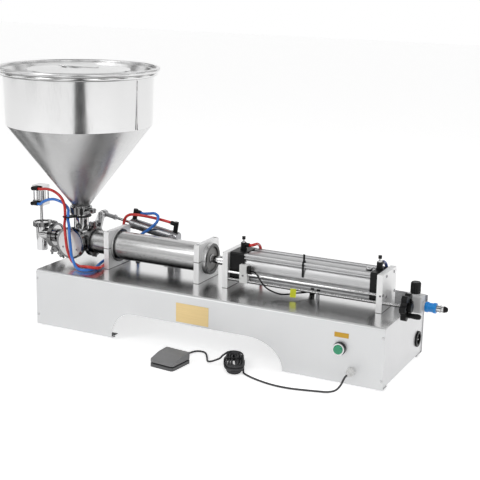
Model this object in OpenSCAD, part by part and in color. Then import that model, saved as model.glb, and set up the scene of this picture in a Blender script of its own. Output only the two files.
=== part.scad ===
// Piston paste filling machine: a cone hopper over a three-way rotary valve, a product
// cylinder driven by an air cylinder, a dosing nozzle, and a foot pedal on a cord.
// Millimetres, +Z up. The origin is the centre of the base cabinet on the floor plane.

/* [Base cabinet] */
// Length of the cabinet
base_l = 988; // [980:1:1000]
// Depth of the cabinet
base_w = 304; // [296:1:312]
// Height of the cabinet without its feet
base_h = 152; // [148:1:158]
// Height of a rubber foot
foot_h = 6; // [5:0.5:8]
// Radius of a rubber foot
foot_r = 9; // [8:0.5:10]
// Distance of a foot's centre from the cabinet's front or back
foot_inset = 23; // [22:0.5:24]
// Distance of a foot's centre from the end of its leg
foot_end_inset = 12; // [11:0.5:14]
// Thickness of the cabinet's sheet
sheet = 2; // [1.6:0.1:2.4]
// Outer bend radius of the cabinet's top edges
bend_r = 7; // [6:0.5:9]
// Width of the folded lips under the cabinet
lip_w = 33; // [32.5:0.5:36]
// Length of the arch between the legs
arch_l = 492; // [480:1:500]
// Height of the arch
arch_h = 73; // [68:1:78]
// Place of the arch's centre along the cabinet
arch_x = -9; // [-14:1:-4]
// Width of the arch's left rounded corner
arch_corner_left = 62; // [50:1:80]
// Width of the arch's right rounded corner
arch_corner_right = 96; // [80:1:110]
// How far the end panels sit inside the wrapped sheet
panel_inset = 2; // [1:0.5:4]

/* [Cylinder axis] */
// Height of both cylinders' common axis above the cabinet's top
axis_h = 57; // [55:0.5:60]
// Place of the product cylinder's front face
front_x = -340; // [-342:1:-338]
// Place of the air cylinder's left end plate
air_x = 17; // [15:1:19]

/* [Product cylinder] */
// Outer radius of the product tube
tube_r = 38; // [37:0.5:39]
// Bore radius of the product tube
tube_bore_r = 33; // [32:0.25:34]
// Length of the product tube
tube_l = 303; // [300:1:306]
// Thickness of the tube's front wall
tube_wall_t = 4; // [3:0.5:6]
// Radius of the locating flange behind the front clamp plate
flange_r = 45; // [43:0.5:47]
// Thickness of the locating flange
flange_t = 6; // [5:0.5:8]
// Radius of the ring round the tube's open end
end_ring_r = 41.3; // [40:0.1:43]
// Radius of the stub towards the valve
stub_r = 32; // [31:0.5:33]
// Bore radius of the stub
stub_bore_r = 24; // [20:0.5:27]
// Length of the stub
stub_l = 64; // [63:0.5:66]

/* [Clamp plates] */
// Thickness of a clamp plate along the axis
clamp_t = 15; // [14:0.5:16]
// Width of a clamp plate
clamp_w = 110; // [108:1:114]
// Distance between the two clamp plates' right faces
clamp_span = 276; // [274:1:278]
// Height of an upper clamp plate
clamp_upper_h = 46; // [45:0.5:50]
// Chamfer of the upper plates' corners
clamp_chamfer = 3; // [1:0.5:4]
// Distance of a clamp bolt from the axis
clamp_bolt_y = 46; // [45.5:0.5:47]
// Radius of a clamp bolt's shank
clamp_bolt_r = 3; // [2.5:0.25:3.5]
// Radius of a clamp bolt's head
bolt_head_r = 5; // [4.5:0.1:5.2]
// Height of a clamp bolt's head
bolt_head_h = 6; // [5:0.5:8]
// Length of a clamp bolt inside the lower plate
bolt_depth = 20; // [15:1:25]

/* [Product piston] */
// Distance of the piston's front face from the front of the product cylinder
piston_at = 268; // [266:1:270]
// Length of the piston
piston_l = 30; // [26:1:32]
// Width of a piston seal
seal_w = 5; // [4:0.5:6]
// Depth of a seal's groove
seal_depth = 3; // [2:0.5:4]
// Distance of the seals from the piston's ends
seal_inset = 4; // [3:0.5:5]
// Radius of both piston rods
rod_r = 10; // [9:0.5:11]
// Radius of the coupling between the rods
coupling_r = 12.3; // [12:0.1:15]
// Length of the coupling
coupling_l = 33; // [30:1:34]
// Gap between the coupling and the air cylinder's end plate
coupling_gap = 3; // [2:0.5:4]

/* [Air cylinder] */
// Thickness of an end plate
air_plate_t = 15; // [14:0.5:16]
// Width of an end plate
air_plate_w = 100; // [98:1:102]
// Height of an end plate
air_plate_h = 95; // [94:0.5:98]
// Side of the square caps
cap_side = 75; // [74:0.5:76]
// Length of the front cap
front_cap_l = 40; // [38:1:42]
// Length of the rear cap
rear_cap_l = 22; // [20:1:24]
// Length of the barrel
barrel_l = 338; // [336:1:340]
// Half the height of the barrel's corner ribs
barrel_half = 36.5; // [36:0.25:37]
// Radius of the barrel's round body
barrel_r = 35.5; // [34.5:0.25:36]
// Bore radius of the barrel
barrel_bore_r = 31.5; // [31:0.25:32]
// Side of a corner rib
rib_side = 14; // [13:0.5:15]
// Width of the groove along a corner rib
groove_w = 4; // [3:0.5:5]
// Depth of the groove along a corner rib
groove_depth = 3.5; // [2.5:0.5:4.5]
// Length of the air piston
air_piston_l = 25; // [20:1:28]
// Gap behind the air piston at rest
air_piston_gap = 8; // [6:1:12]

/* [Volume setting] */
// Radius of the guide rod and the lead screw
rail_r = 4; // [3.5:0.25:4.5]
// Distance of both from the cylinder's axis towards the front
rail_y = 44; // [43.5:0.5:45]
// Height of the guide rod above the cabinet's top
guide_h = 44; // [43:0.5:46]
// Height of the lead screw above the cabinet's top
screw_h = 25; // [24:0.5:27]
// Length of the slider
slider_l = 22; // [20:1:24]
// Depth of the slider
slider_w = 13.5; // [12.5:0.5:14]
// Height of the slider
slider_h = 47; // [45:1:50]
// Distance of the slider from the air cylinder's left face
slider_at = 49; // [47:1:52]
// Length of the sensor along the rods
sensor_l = 8; // [6:0.5:10]
// Depth of the sensor
sensor_w = 10; // [8:0.5:11]
// Height of the sensor
sensor_h = 18; // [14:1:22]
// Distance of the rail post from the air cylinder's left face
post_at = 260; // [259:1:264]
// Thickness of the rail post
post_t = 5; // [4:0.5:6]
// Radius of the handwheel to its lobes' tips
wheel_r = 34; // [33:0.5:35]
// Radius of one lobe of the handwheel
lobe_r = 9; // [8:0.5:10]
// Number of lobes
lobe_count = 6; // [5:1:7]
// Thickness of the handwheel
wheel_t = 14; // [12:0.5:16]
// Gap between the cabinet's end and the handwheel
wheel_gap = 5; // [4:0.5:7]
// Radius of the handwheel's hub
hub_r = 11; // [10:0.5:13]
// Length of the handwheel's hub
hub_l = 22; // [20:1:24]
// Distance of the grip from the wheel's centre
grip_at = 20; // [18:0.5:22]
// Radius of the revolving grip
grip_r = 7; // [6:0.5:8]
// Length of the revolving grip
grip_l = 28; // [24:1:32]
// Radius of the grip's pin
grip_pin_r = 3; // [2.5:0.25:3.5]

/* [Rotary valve] */
// Distance of the valve's axis from the port towards the product cylinder
port_reach = 42; // [41:0.5:43]
// Radius of the valve body
valve_r = 35.5; // [34.5:0.25:36]
// Distance of the valve body's front face from the cylinder axis
valve_front = 50; // [49:0.5:52]
// Distance of the valve body's back face from the cylinder axis
valve_back = 48; // [46:0.5:50]
// Thickness of the valve body's back wall
valve_wall = 8; // [7:0.5:10]
// Radius of the rotor
rotor_r = 27.5; // [27:0.25:28]
// Radius of the rotor's cross bores
rotor_bore_r = 15; // [14:0.5:16]
// Radius of the rotor's shaft
shaft_r = 9; // [8:0.5:10]
// Bore radius of the ports
port_bore_r = 15; // [14:0.5:16]
// Radius of the flange that the front cover is clamped to
cover_flange_r = 41; // [40.5:0.5:42]
// Thickness of the front cover
cover_t = 6; // [5:0.5:7]
// Thickness of a clamped ferrule
ferrule_t = 4; // [3.5:0.25:4.5]
// Radius of the cylinder side's ferrules
cyl_ferrule_r = 38.5; // [38:0.25:39]
// Length of the outlet port from the valve's axis
outlet_reach = 88; // [86:1:90]
// Radius of the outlet port's tube
outlet_r = 19; // [18:0.5:20]
// Radius of the outlet's ferrules
outlet_ferrule_r = 32; // [31:0.5:33]
// Height of the hopper port's face above the axis
top_reach = 84; // [83:0.5:86]
// Radius of the hopper port's tube
top_r = 21; // [20:0.5:22]
// Radius of the hopper's ferrules
top_ferrule_r = 27.5; // [27:0.25:28]

/* [Hopper] */
// Outer radius of the hopper's rim
hopper_r = 200; // [198:1:202]
// Outer radius where the wall meets the cone
hopper_low_r = 196.5; // [195:0.5:198]
// Thickness of the hopper's sheet
hopper_t = 2; // [1.5:0.1:2.5]
// Height of the hopper's neck
neck_h = 11; // [10.5:0.5:13]
// Radius of the hopper's neck
neck_r = 22.5; // [22:0.25:23.5]
// Height of the cone
cone_h = 228; // [224:1:232]
// Height of the straight wall
wall_h = 138; // [134:1:142]
// Radius of the rolled bead at the rim
bead_r = 6; // [5.5:0.25:6.5]
// Radius of the lid's rolled edge
lid_edge_r = 5.5; // [5:0.25:6]
// Thickness of the lid's sheet
lid_t = 2; // [1.5:0.1:2.5]
// Depth of the trough round the lid
trough_depth = 16; // [14:0.5:18]
// Outer radius of the trough's floor
trough_out_r = 187; // [184:0.5:189]
// Inner radius of the trough's floor
trough_in_r = 145; // [142:0.5:148]
// Run of the trough's sloping walls
trough_slope = 7; // [5:0.5:8]
// Rise of the lid's dome
dome_h = 6; // [4:0.5:7]
// Radius of the dish under the lid's handle
dish_r = 46; // [44:1:48]
// Depth of the dish
dish_depth = 12; // [10:0.5:14]
// Length of the lid's strap handle
strap_l = 116; // [112:1:120]
// Width of the lid's strap handle
strap_w = 20; // [18:0.5:22]
// Thickness of the lid's strap handle
strap_t = 2.5; // [2:0.25:3]

/* [Nozzle] */
// Distance of the nozzle's axis from the outlet port's face
nozzle_reach = 47; // [46:0.5:48]
// Outer radius of the nozzle tube
nozzle_r = 16; // [15.5:0.25:16.5]
// Depth of the nozzle's mouth below the axis
nozzle_drop = 47; // [46:0.5:48]
// Bore radius of the nozzle's mouth
mouth_r = 11; // [10.5:0.25:11.5]
// Depth of the nozzle's mouth
mouth_l = 12; // [11:0.5:13]
// Radius of the seat that the plunger closes
seat_r = 8; // [7.5:0.25:8.5]
// Thickness of the seat
seat_t = 4; // [3.5:0.25:5]
// Bore radius of the nozzle body
nozzle_bore_r = 13; // [12.5:0.25:13.5]
// Height of the nozzle body's top face above the axis
nozzle_top = 28; // [27.5:0.5:29]
// Radius of the nozzle's top ferrules
nozzle_ferrule_r = 22; // [21.5:0.25:22.5]
// Radius of the tee towards the valve
tee_r = 17; // [16.5:0.25:17.5]
// Height of the stem's tube between body and air cylinder
stem_h = 51; // [50:1:54]
// Outer radius of the stem's tube
stem_r = 4.5; // [4.25:0.25:5.5]
// Radius of the plunger's stem
plunger_r = 2.75; // [2.5:0.05:3]
// Radius of the plunger's head
plunger_head_r = 11.5; // [11:0.25:12]
// Height of the plunger's head
plunger_head_h = 8; // [7:0.5:10]
// Side of the small air cylinder's plates
small_side = 35; // [34:0.5:37]
// Height of each of its plates
small_plate_h = 14; // [13:0.5:15]
// Length of its barrel
small_barrel_h = 29; // [28:0.5:31]
// Outer radius of its barrel
small_barrel_r = 13; // [12.5:0.25:13.5]
// Bore radius of its barrel
small_bore_r = 11; // [10.5:0.25:11.5]
// Radius of its tie rods
tie_r = 2; // [1.5:0.25:2.25]
// Distance of the tie rods from the cylinder's axis, each way
tie_at = 14; // [13.5:0.25:14.5]
// Thickness of its piston
small_piston_h = 8; // [6:0.5:9]

/* [Valve actuator] */
// Distance of the actuator's plane behind the cylinder axis
actuator_y = 78; // [77:0.5:80]
// Length of the valve lever between its centres
lever_l = 64; // [63:0.5:65]
// Angle of the lever at rest, from the line to the product cylinder
lever_angle = 69; // [67:1:71]
// Thickness of the lever
lever_t = 10; // [8:0.5:11]
// Radius of the lever's hub
lever_hub_r = 15; // [14:0.5:17]
// Radius of the lever's tip
lever_tip_r = 9; // [8:0.5:10]
// Radius of the linkage's pins
pin_r = 4; // [3.5:0.25:4.5]
// Width of the eyes on the pins
eye_w = 14; // [12:0.5:15]
// Radius of the rod end's eye
eye_r = 11; // [10:0.5:12]
// Radius of the rod end's shank
shank_r = 6; // [5.5:0.5:7]
// Length of the rod end from its eye's centre
shank_l = 42; // [40:1:44]
// Gap between the rod and the rod end, where the linkage is open
link_gap = 1.5; // [1:0.25:2.5]
// Distance of the rear pivot from the valve's axis along the machine
pivot_reach = 252; // [250:1:254]
// Height of the rear pivot above the cylinder axis
pivot_h = 22; // [20:0.5:24]
// Outer radius of the actuator's caps
actuator_cap_r = 15.5; // [15:0.25:16]
// Outer radius of the actuator's barrel
actuator_barrel_r = 14.5; // [14:0.25:15]
// Bore radius of the actuator's barrel
actuator_bore_r = 13; // [12.5:0.25:13.5]
// Length of the actuator from the rear pivot to its front cap's face
actuator_l = 138; // [136:1:140]
// Length of the front cap
actuator_cap_l = 13; // [12:0.5:14]
// Half the length of the rear cap that turns on the pivot
rear_half_l = 13; // [12:0.5:14]
// Radius of the actuator's rod
actuator_rod_r = 4; // [3.5:0.25:4.5]
// Thickness of each cheek of the rear bracket
cheek_t = 4; // [3:0.5:5]
// Width of each cheek
cheek_w = 20; // [18:1:24]

/* [Air supply] */
// Distance of the regulator's centre from its bracket's left end
regulator_at = 56; // [55:1:58]
// Distance of the regulator's centre behind the cylinder axis
regulator_y = 10; // [9.5:0.5:12]
// Length of the regulator's body
regulator_l = 44; // [42:1:46]
// Depth of the regulator's body
regulator_w = 34; // [32:1:35]
// Height of the regulator's body
regulator_h = 44; // [43:1:46]
// Radius of the regulator's knob
knob_r = 12.5; // [12:0.25:13.5]
// Height of the regulator's knob
knob_h = 28; // [26:1:30]
// Number of ridges round the knob
ridge_count = 18; // [14:1:20]
// Height of the air inlet's axis above the cabinet's top
inlet_h = 16; // [15:0.5:17]
// Radius of the inlet nipple
nipple_r = 8; // [7.5:0.25:8.5]
// Length of the inlet nipple
nipple_l = 54; // [53:1:57]
// Radius of the sliding sleeve of the shut-off valve
sleeve_r = 13; // [12.5:0.25:14]
// Length of the sliding sleeve
sleeve_l = 28; // [26:1:30]
// Travel of the sliding sleeve
sleeve_travel = 8; // [6:0.5:9]
// Length of the bracket plate
bracket_l = 82; // [80:1:84]
// Height of the bracket plate
bracket_h = 40; // [38:1:44]
// Thickness of the bracket plate
bracket_t = 3; // [2.5:0.5:4]
// Length of the bracket's foot on the cabinet
bracket_foot_l = 38; // [36:1:39]
// Depth of the bracket's foot
bracket_foot = 25; // [20:1:30]
// Gap between the air cylinder and the bracket
bracket_gap = 7; // [6:0.5:8]
// Radius of an air tube
air_tube_r = 4; // [3.5:0.25:4]
// Radius of a push-in fitting
fitting_r = 6.5; // [6:0.25:7]
// Radius of a speed controller's knob
speed_knob_r = 4.5; // [4.25:0.25:5.5]
// Height of a speed controller's body above its cap
speed_h = 27; // [26:0.5:29]
// Height of a speed controller's knob
speed_knob_h = 8; // [7:0.5:10]

/* [Controls] */
// Distance of the start button from the cabinet's right end
button_in = 110; // [106:1:114]
// Height of the start button above the cabinet's lower edge
button_h = 86; // [84:1:89]
// Radius of the start button's bezel
bezel_r = 14.7; // [14:0.1:15.5]
// Radius of the start button
button_r = 11.5; // [11.25:0.05:11.75]
// Radius of the black collar behind the bezel
collar_r = 15.5; // [15:0.1:16.5]
// Depth of the collar
collar_t = 7; // [6:0.5:8]
// Radius of the start button's threaded housing
housing_r = 11; // [10.8:0.1:11.5]
// Travel of the start button
button_travel = 3; // [2:0.25:4]
// Distance of the cord's gland from the cabinet's right end
gland_in = 79.4; // [77:0.2:82]
// Height of the cord's gland above the cabinet's lower edge
gland_h = 33; // [31:0.5:35]
// Radius of the gland's threaded stem
gland_r = 8; // [7.5:0.25:8.5]
// Length of the gland outside the cabinet
gland_l = 30; // [29:0.5:31]
// Radius of the round mains inlet's flange
inlet_r = 20.5; // [19.5:0.5:21]
// Distance of the mains inlet behind the cabinet's middle
inlet_y = 112; // [110:1:114]
// Height of the mains inlet above the cabinet's lower edge
inlet_up = 47; // [45:1:49]

/* [Foot pedal] */
// Width of the pedal
pedal_w = 70; // [68:1:72]
// Length of the pedal
pedal_l = 78; // [76:1:80]
// Height of the pedal's base tray
pedal_base_h = 8; // [7:0.5:9]
// Height of the treadle's front above the floor
treadle_front_h = 19; // [18:0.5:20]
// Height of the treadle's back above the floor
treadle_back_h = 30; // [28:0.5:31]
// Radius of the treadle's upright corners
treadle_corner_r = 8; // [6:0.5:10]
// Wall of the treadle's shell
treadle_wall = 3; // [2.5:0.25:3.5]
// Radius of the pedal's hinge pin
hinge_r = 3; // [2.5:0.25:3.25]
// Radius of the pedal's cord
cord_r = 2.4; // [2.2:0.1:2.4]
// Number of loops in each layer of the cord's hank
loops_a_layer = 3; // [2:1:3]
// Number of layers in the hank
layer_count = 4; // [2:2:4]

/* [Hidden] */
$fn = 64;

// Overrun of every cut
over = 1;
// Radial clearance of a running fit
run_gap = 0.05;
// Gap between pieces that are seated in one another
seat_gap = 0.3;
// Radial clearance between a clamped or pressed pair
hold_gap = 0.15;
// Gap between sheet panels
panel_gap = 0.3;
// Edge break of turned and milled pieces
edge = 1;

// Levels
low_z = foot_h;
top_z = foot_h + base_h;
axis_z = top_z + axis_h;
under_z = top_z - sheet;
front_y = -base_w / 2;
button_x = base_l / 2 - button_in;
gland_x = base_l / 2 - gland_in;

// Product cylinder, valve and nozzle along the machine
valve_x = front_x - stub_l - ferrule_t - port_reach;
outlet_x = valve_x - outlet_reach;
nozzle_x = outlet_x - nozzle_reach;
top_port_z = axis_z + top_reach;
rear_clamp_x = front_x + clamp_t + clamp_span;
piston_x = front_x + piston_at;

// Air cylinder along the machine
front_cap_x = air_x + air_plate_t;
barrel_x = front_cap_x + front_cap_l;
rear_cap_x = barrel_x + barrel_l;
rear_plate_x = rear_cap_x + rear_cap_l;
air_end_x = rear_plate_x + air_plate_t;
coupling_x = air_x - coupling_gap - coupling_l;
guide_z = top_z + guide_h;
screw_z = top_z + screw_h;
slider_x = air_x + slider_at;
wheel_x = base_l / 2 + wheel_gap;

// Hopper levels
cone_z = top_port_z + neck_h;
wall_z = cone_z + cone_h;
rim_z = wall_z + wall_h;
cone_wall = hopper_t * norm([hopper_low_r - neck_r, cone_h]) / cone_h;
bead_ring_r = hopper_r + bead_r - hopper_t / 2;
lid_z = rim_z + bead_r + seat_gap;

// Nozzle levels
nozzle_low_z = axis_z - nozzle_drop;
seat_z = nozzle_low_z + mouth_l;
nozzle_top_z = axis_z + nozzle_top;
small_z = nozzle_top_z + ferrule_t + stem_h;
small_barrel_z = small_z + small_plate_h;
small_top_z = small_barrel_z + small_barrel_h;

// Valve actuator geometry
pivot_x = valve_x + pivot_reach;
pivot_z = axis_z + pivot_h;
lever_pin = [valve_x + lever_l * cos(lever_angle), axis_z + lever_l * sin(lever_angle)];
actuator_reach = norm(lever_pin - [pivot_x, pivot_z]);
actuator_turn = atan2(lever_pin[1] - pivot_z, lever_pin[0] - pivot_x);
lever_y = actuator_y - eye_w / 2 - edge - lever_t;

// Turned and extruded helpers

// Cylinder along X from one place to another
module bar_x(x0, x1, r, y = 0, z = axis_z) {
  translate([x0, y, z]) rotate([0, 90, 0]) cylinder(h = x1 - x0, r = r);
}

// Cylinder along Y from one place to another
module bar_y(y0, y1, r, x, z) {
  translate([x, y1, z]) rotate([90, 0, 0]) cylinder(h = y1 - y0, r = r);
}

// Upright cylinder between two levels
module bar_z(z0, z1, r, x, y = 0) {
  translate([x, y, z0]) cylinder(h = z1 - z0, r = r);
}

// Box between two corners
module box(low, high) {
  translate(low) cube(high - low);
}

// Outline in Y and Z, carried along X
module along_x(x0, x1) {
  translate([x0, 0, 0]) rotate([90, 0, 90]) linear_extrude(x1 - x0) children();
}

// Outline in X and Z, carried along Y
module along_y(y0, y1) {
  translate([0, y1, 0]) rotate([90, 0, 0]) linear_extrude(y1 - y0) children();
}

// Outline of radius and distance, turned round the cylinder axis
module turned_x(x, points, y = 0, z = axis_z) {
  translate([x, y, z]) rotate([0, 90, 0]) rotate_extrude() polygon(points);
}

// Disc or bar along X with broken edges
module chamfered_x(x0, x1, r, y = 0, z = axis_z, break = edge) {
  length = x1 - x0;
  turned_x(x0, [[0, 0], [r - break, 0], [r, break], [r, length - break],
    [r - break, length], [0, length]], y, z);
}

// Square with true round corners
module round_square(w, d, r) {
  square([w - 2 * r, d], center = true);
  square([w, d - 2 * r], center = true);
  for (sx = [-1, 1], sy = [-1, 1])
    translate([sx * (w / 2 - r), sy * (d / 2 - r)]) circle(r);
}

// Wall outline with two round upper corners
module round_top(w, z0, z1, r) {
  translate([-w / 2, z0]) square([w, z1 - z0 - r]);
  translate([-w / 2 + r, z0]) square([w - 2 * r, z1 - z0]);
  for (side = [-1, 1])
    translate([side * (w / 2 - r), z1 - r]) circle(r);
}

// Paths of tubes and cords

function unit(v) = v / norm(v);

// Smooth curve through the points, straight over its first and last stretch
function spline_at(a, b, c, d, t) =
  0.5 * (2 * b + (c - a) * t + (2 * a - 5 * b + 4 * c - d) * t * t
    + (3 * b - a - 3 * c + d) * t * t * t);
function smooth(p, steps) = let (last = len(p) - 1) [
  p[0],
  for (i = [1:last - 2], s = [0:steps - 1])
    spline_at(p[i - 1], p[i], p[i + 1], p[i + 2], s / steps),
  p[last - 1], p[last]];
function heading(path, i) =
  unit(path[min(i + 1, len(path) - 1)] - path[max(i - 1, 0)]);
function square_to(v, t) = unit(v - t * (v * t));

// Direction that the first ring of a swept tube is measured from
sweep_side = [0.4, 0.5, 0.8];

// Tube swept along a path, its rings square to the path
module swept_tube(path, r, sides = 8) {
  last = len(path) - 1;
  normals = [for (i = 0, n = square_to(sweep_side, heading(path, 0)); i <= last;
    i = i + 1, n = square_to(n, heading(path, min(i, last)))) n];
  rings = [for (i = [0:last], j = [0:sides - 1])
    let (n = normals[i], b = cross(heading(path, i), n), a = 360 * j / sides)
    path[i] + r * (n * cos(a) + b * sin(a))];
  first_cap = [for (j = [1:sides - 2]) [0, j, j + 1]];
  last_cap = [for (j = [1:sides - 2])
    [last * sides, last * sides + j + 1, last * sides + j]];
  walls = [for (i = [0:last - 1], j = [0:sides - 1])
    let (k = (j + 1) % sides, at = i * sides, next = at + sides)
    each [[at + j, next + j, next + k], [at + j, next + k, at + k]]];
  polyhedron(rings, concat(first_cap, last_cap, walls));
}

// Places of the air fittings
elbow_reach = 16;
elbow_stem = 14;
elbow_out = 9;
bulkhead_h = 8;
side_port_h = 10;
side_port_l = 11;
nozzle_elbow_y = -small_side / 2 - elbow_out;
red_elbow = [nozzle_x - 6, small_top_z + small_plate_h / 2];
blue_elbow = [nozzle_x - 9, small_z + small_plate_h / 2];
red_clip = [-478, -37];
blue_clip = [-467, -38];
red_port = [-350, 12];
blue_port = [-368, 12];
left_port = [75, 60];
right_port = [430, 70];
actuator_left_port = [-350, 66];
actuator_right_port = [-306, 63];
sensor_port = [238, 20];

// Speed controllers on the air cylinder's caps
speed_rear_at = 10;
speed_places = [front_cap_x + front_cap_l / 2, rear_cap_x + speed_rear_at];
cap_top = axis_z + cap_side / 2;
speed_elbow_z = cap_top + speed_h / 2;

// Point given in the actuator's frame, in the machine's frame
actuator_stem = 27;
elbow_up = actuator_cap_r + actuator_stem - fitting_r;
function from_actuator(along, up) = [
  pivot_x + along * cos(actuator_turn) + up * sin(actuator_turn),
  actuator_y,
  pivot_z + along * sin(actuator_turn) - up * cos(actuator_turn)];
actuator_way = from_actuator(1, 0) - from_actuator(0, 0);
front_port_at = actuator_l - actuator_cap_l / 2;

// Routes of the tubes: straight out of a fitting, by the points, straight into the next
straight_end = 9;
function tube_route(first, first_way, points, last, last_way) = concat(
  [first, first + straight_end * first_way], points,
  [last + straight_end * last_way, last]);
function above(port) = [port[0], port[1], top_z + bulkhead_h];
function before(port) = [port[0], port[1] - side_port_l, top_z + side_port_h];
right_way = [1, 0, 0];
front_way = [0, -1, 0];
back_way = [0, 1, 0];
up_way = [0, 0, 1];
red_route = tube_route([red_elbow[0] + elbow_reach, nozzle_elbow_y, red_elbow[1]],
  right_way, [[-545, -27, 351], [-521, -29, 348], [-501, -31, 339], [-488, -33, 327],
    [-480, -36, 313], [-478, -37, 298], [-478, -37, 283], [-477, -39, 275],
    [-467, -56, 264], [-456, -69, 248], [-448, -77, 228], [-443, -80, 208],
    [-437, -80, 190], [-425, -82, 174], [-403, -90, 167], [-382, -99, 169],
    [-361, -103, 172], [-345, -96, 170], [-339, -78, 167], [-344, -54, 166],
    [-349, -30, 167]], before(red_port), front_way);
blue_route = tube_route([blue_elbow[0] + elbow_reach, nozzle_elbow_y, blue_elbow[1]],
  right_way, [[-558, -28, 313], [-541, -29, 321], [-521, -29, 325], [-503, -28, 322],
    [-488, -26, 315], [-474, -28, 304], [-468, -36, 293], [-467, -38, 283],
    [-465, -42, 275], [-449, -60, 264], [-441, -71, 247], [-434, -78, 227],
    [-430, -81, 206], [-426, -84, 190], [-415, -90, 175], [-400, -100, 165],
    [-381, -110, 163], [-362, -105, 163], [-354, -88, 163], [-358, -64, 163],
    [-365, -36, 165]], before(blue_port), front_way);
left_route = tube_route([speed_places[0] + elbow_reach, 0, speed_elbow_z], right_way,
  [[88, 14, 267], [93, 34, 260], [92, 44, 252], [89, 48, 240], [85, 52, 222],
    [80, 57, 198]], above(left_port), up_way);
right_route = tube_route([speed_places[1], elbow_reach, speed_elbow_z], back_way,
  [[421, 38, 260], [423, 47, 246], [427, 58, 222], [430, 67, 198]],
  above(right_port), up_way);
front_tube_route = tube_route(from_actuator(front_port_at - elbow_reach, elbow_up),
  -actuator_way, [[-277, 77, 293], [-258, 73, 296], [-243, 66, 291], [-242, 59, 278],
    [-253, 56, 265], [-271, 55, 250], [-291, 56, 236], [-303, 59, 218],
    [-307, 62, 198]], above(actuator_right_port), up_way);
rear_tube_route = tube_route(from_actuator(elbow_reach, elbow_up), actuator_way,
  [[-238, 76, 280], [-262, 71, 284], [-288, 66, 287], [-312, 63, 288],
    [-331, 63, 286], [-346, 65, 277], [-353, 66, 262], [-354, 66, 242],
    [-352, 66, 212]], above(actuator_left_port), up_way);
sensor_cable_r = 2;
sensor_z = guide_z + rail_r + edge;
sensor_route = tube_route([slider_x + slider_l + sensor_l,
    -rail_y - sensor_w / 2 - hold_gap, sensor_z + sensor_h / 3],
  right_way, [[118, -54, 207], [130, -57, 193], [146, -58, 179], [166, -57, 171],
    [184, -53, 167], [202, -46, 168], [214, -37, 170], [226, -22, 169],
    [234, -8, 168]], before(sensor_port), front_way);
route_steps = 2;

// Hank of the cord: loops drawn in at the waist, wound in and out in layers
hank_at = [116, -170];
hank_turn = -62;
hank_half_l = 58;
hank_half_w = 36;
loop_step_l = 6.4;
loop_step_w = 9.8;
layer_rise = 5.7;
waist_share = 0.34;
loop_rings = 24;
hank_low = 3;
first_turn = 1 / 6;
last_turn = 1 / 8;
layer_turns = loops_a_layer + 0.5;
function hank_point(turn) = let (
    layer = min(floor(turn / layer_turns), layer_count - 1),
    part = turn - layer * layer_turns,
    wound = min(part, loops_a_layer),
    inward = layer % 2 == 0 ? wound : loops_a_layer - wound,
    rise = layer < layer_count - 1 ? layer + 2 * (part - wound) : layer,
    a = 360 * turn,
    length = hank_half_l - inward * loop_step_l,
    width = hank_half_w - inward * loop_step_w)
  [hank_at[0] + length * cos(a) * cos(hank_turn)
      - width * sin(a) * (1 - waist_share * pow(sin(a), 2)) * sin(hank_turn),
    hank_at[1] + length * cos(a) * sin(hank_turn)
      + width * sin(a) * (1 - waist_share * pow(sin(a), 2)) * cos(hank_turn),
    hank_low + rise * layer_rise];
hank_turns = layer_turns * layer_count - 0.5 + last_turn;
hank_loops = [for (i = [first_turn * loop_rings:hank_turns * loop_rings])
  hank_point(i / loop_rings)];
last_ring = len(hank_loops) - 1;

// Straight ends of the hank, where the free stretches meet it
hank_start = hank_loops[0] + straight_end * unit(hank_loops[0] - hank_loops[1]);
hank_end = hank_loops[last_ring]
  + straight_end * unit(hank_loops[last_ring] - hank_loops[last_ring - 1]);
hank_in = hank_start + straight_end * unit(hank_loops[0] - hank_loops[1]);
hank_out = hank_end + straight_end
  * unit(hank_loops[last_ring] - hank_loops[last_ring - 1]);
hank_path = concat([hank_start], hank_loops, [hank_end]);
hank_gaps = [for (i = [0:last_ring], j = [i + loop_rings / 3:last_ring])
  norm(hank_loops[i] - hank_loops[j])];
echo(least_hank_gap = min(hank_gaps) - 2 * cord_r);

// Pedal's turn and place on the floor
pedal_turn = -6;
pedal_at = [-30, -232];

// Place where the cord enters the pedal's back
socket_z = 5;
pedal_socket = [pedal_at[0] - pedal_l / 2 * sin(pedal_turn),
  pedal_at[1] + pedal_l / 2 * cos(pedal_turn), socket_z];
pedal_in = pedal_socket + straight_end * [-sin(pedal_turn), cos(pedal_turn), 0];

// Route of the pedal's cord from the gland to the hank, and on to the pedal
gland_out = [gland_x, front_y - gland_l, low_z + gland_h];
gland_route = [gland_out, gland_out - [0, 8, 0], [414, -200, 34], [410, -207, 22],
  [400, -211, 10], [383, -215, 4], [358, -221, 3], [328, -229, 3], [295, -236, 3],
  [262, -237, 3], [230, -232, 3], [200, -223, 3], [176, -213, 3], hank_in, hank_start];
pedal_route = [hank_end, hank_out, [79, -176, 18], [66, -185, 12], [51, -181, 6],
  [40, -168, 3], [28, -148, 3], [15, -129, 3], [5, -121, 3], [-7, -120, 3],
  [-17, -126, 3], [-22, -137, 3], [-23.5, -151, 4], [-24, -168, 5], pedal_in,
  pedal_socket];

// Modules of the cabinet

// Arch between the legs, with elliptical upper corners
arch_steps = 12;
function arch_corner(x, w, direction) = [for (i = [0:arch_steps])
  let (a = 90 * i / arch_steps)
  [x + direction * w * (1 - cos(a)), low_z + arch_h * sin(a)]];
arch_x0 = arch_x - arch_l / 2;
arch_x1 = arch_x + arch_l / 2;
function reversed(list) = [for (i = [len(list) - 1:-1:0]) list[i]];

// Bulkhead places on the cabinet's top
bulkheads = [red_port, blue_port, left_port, right_port, actuator_left_port,
  actuator_right_port, sensor_port];
bulkhead_stem_r = 4;
bulkhead_nut_h = 5;

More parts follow.
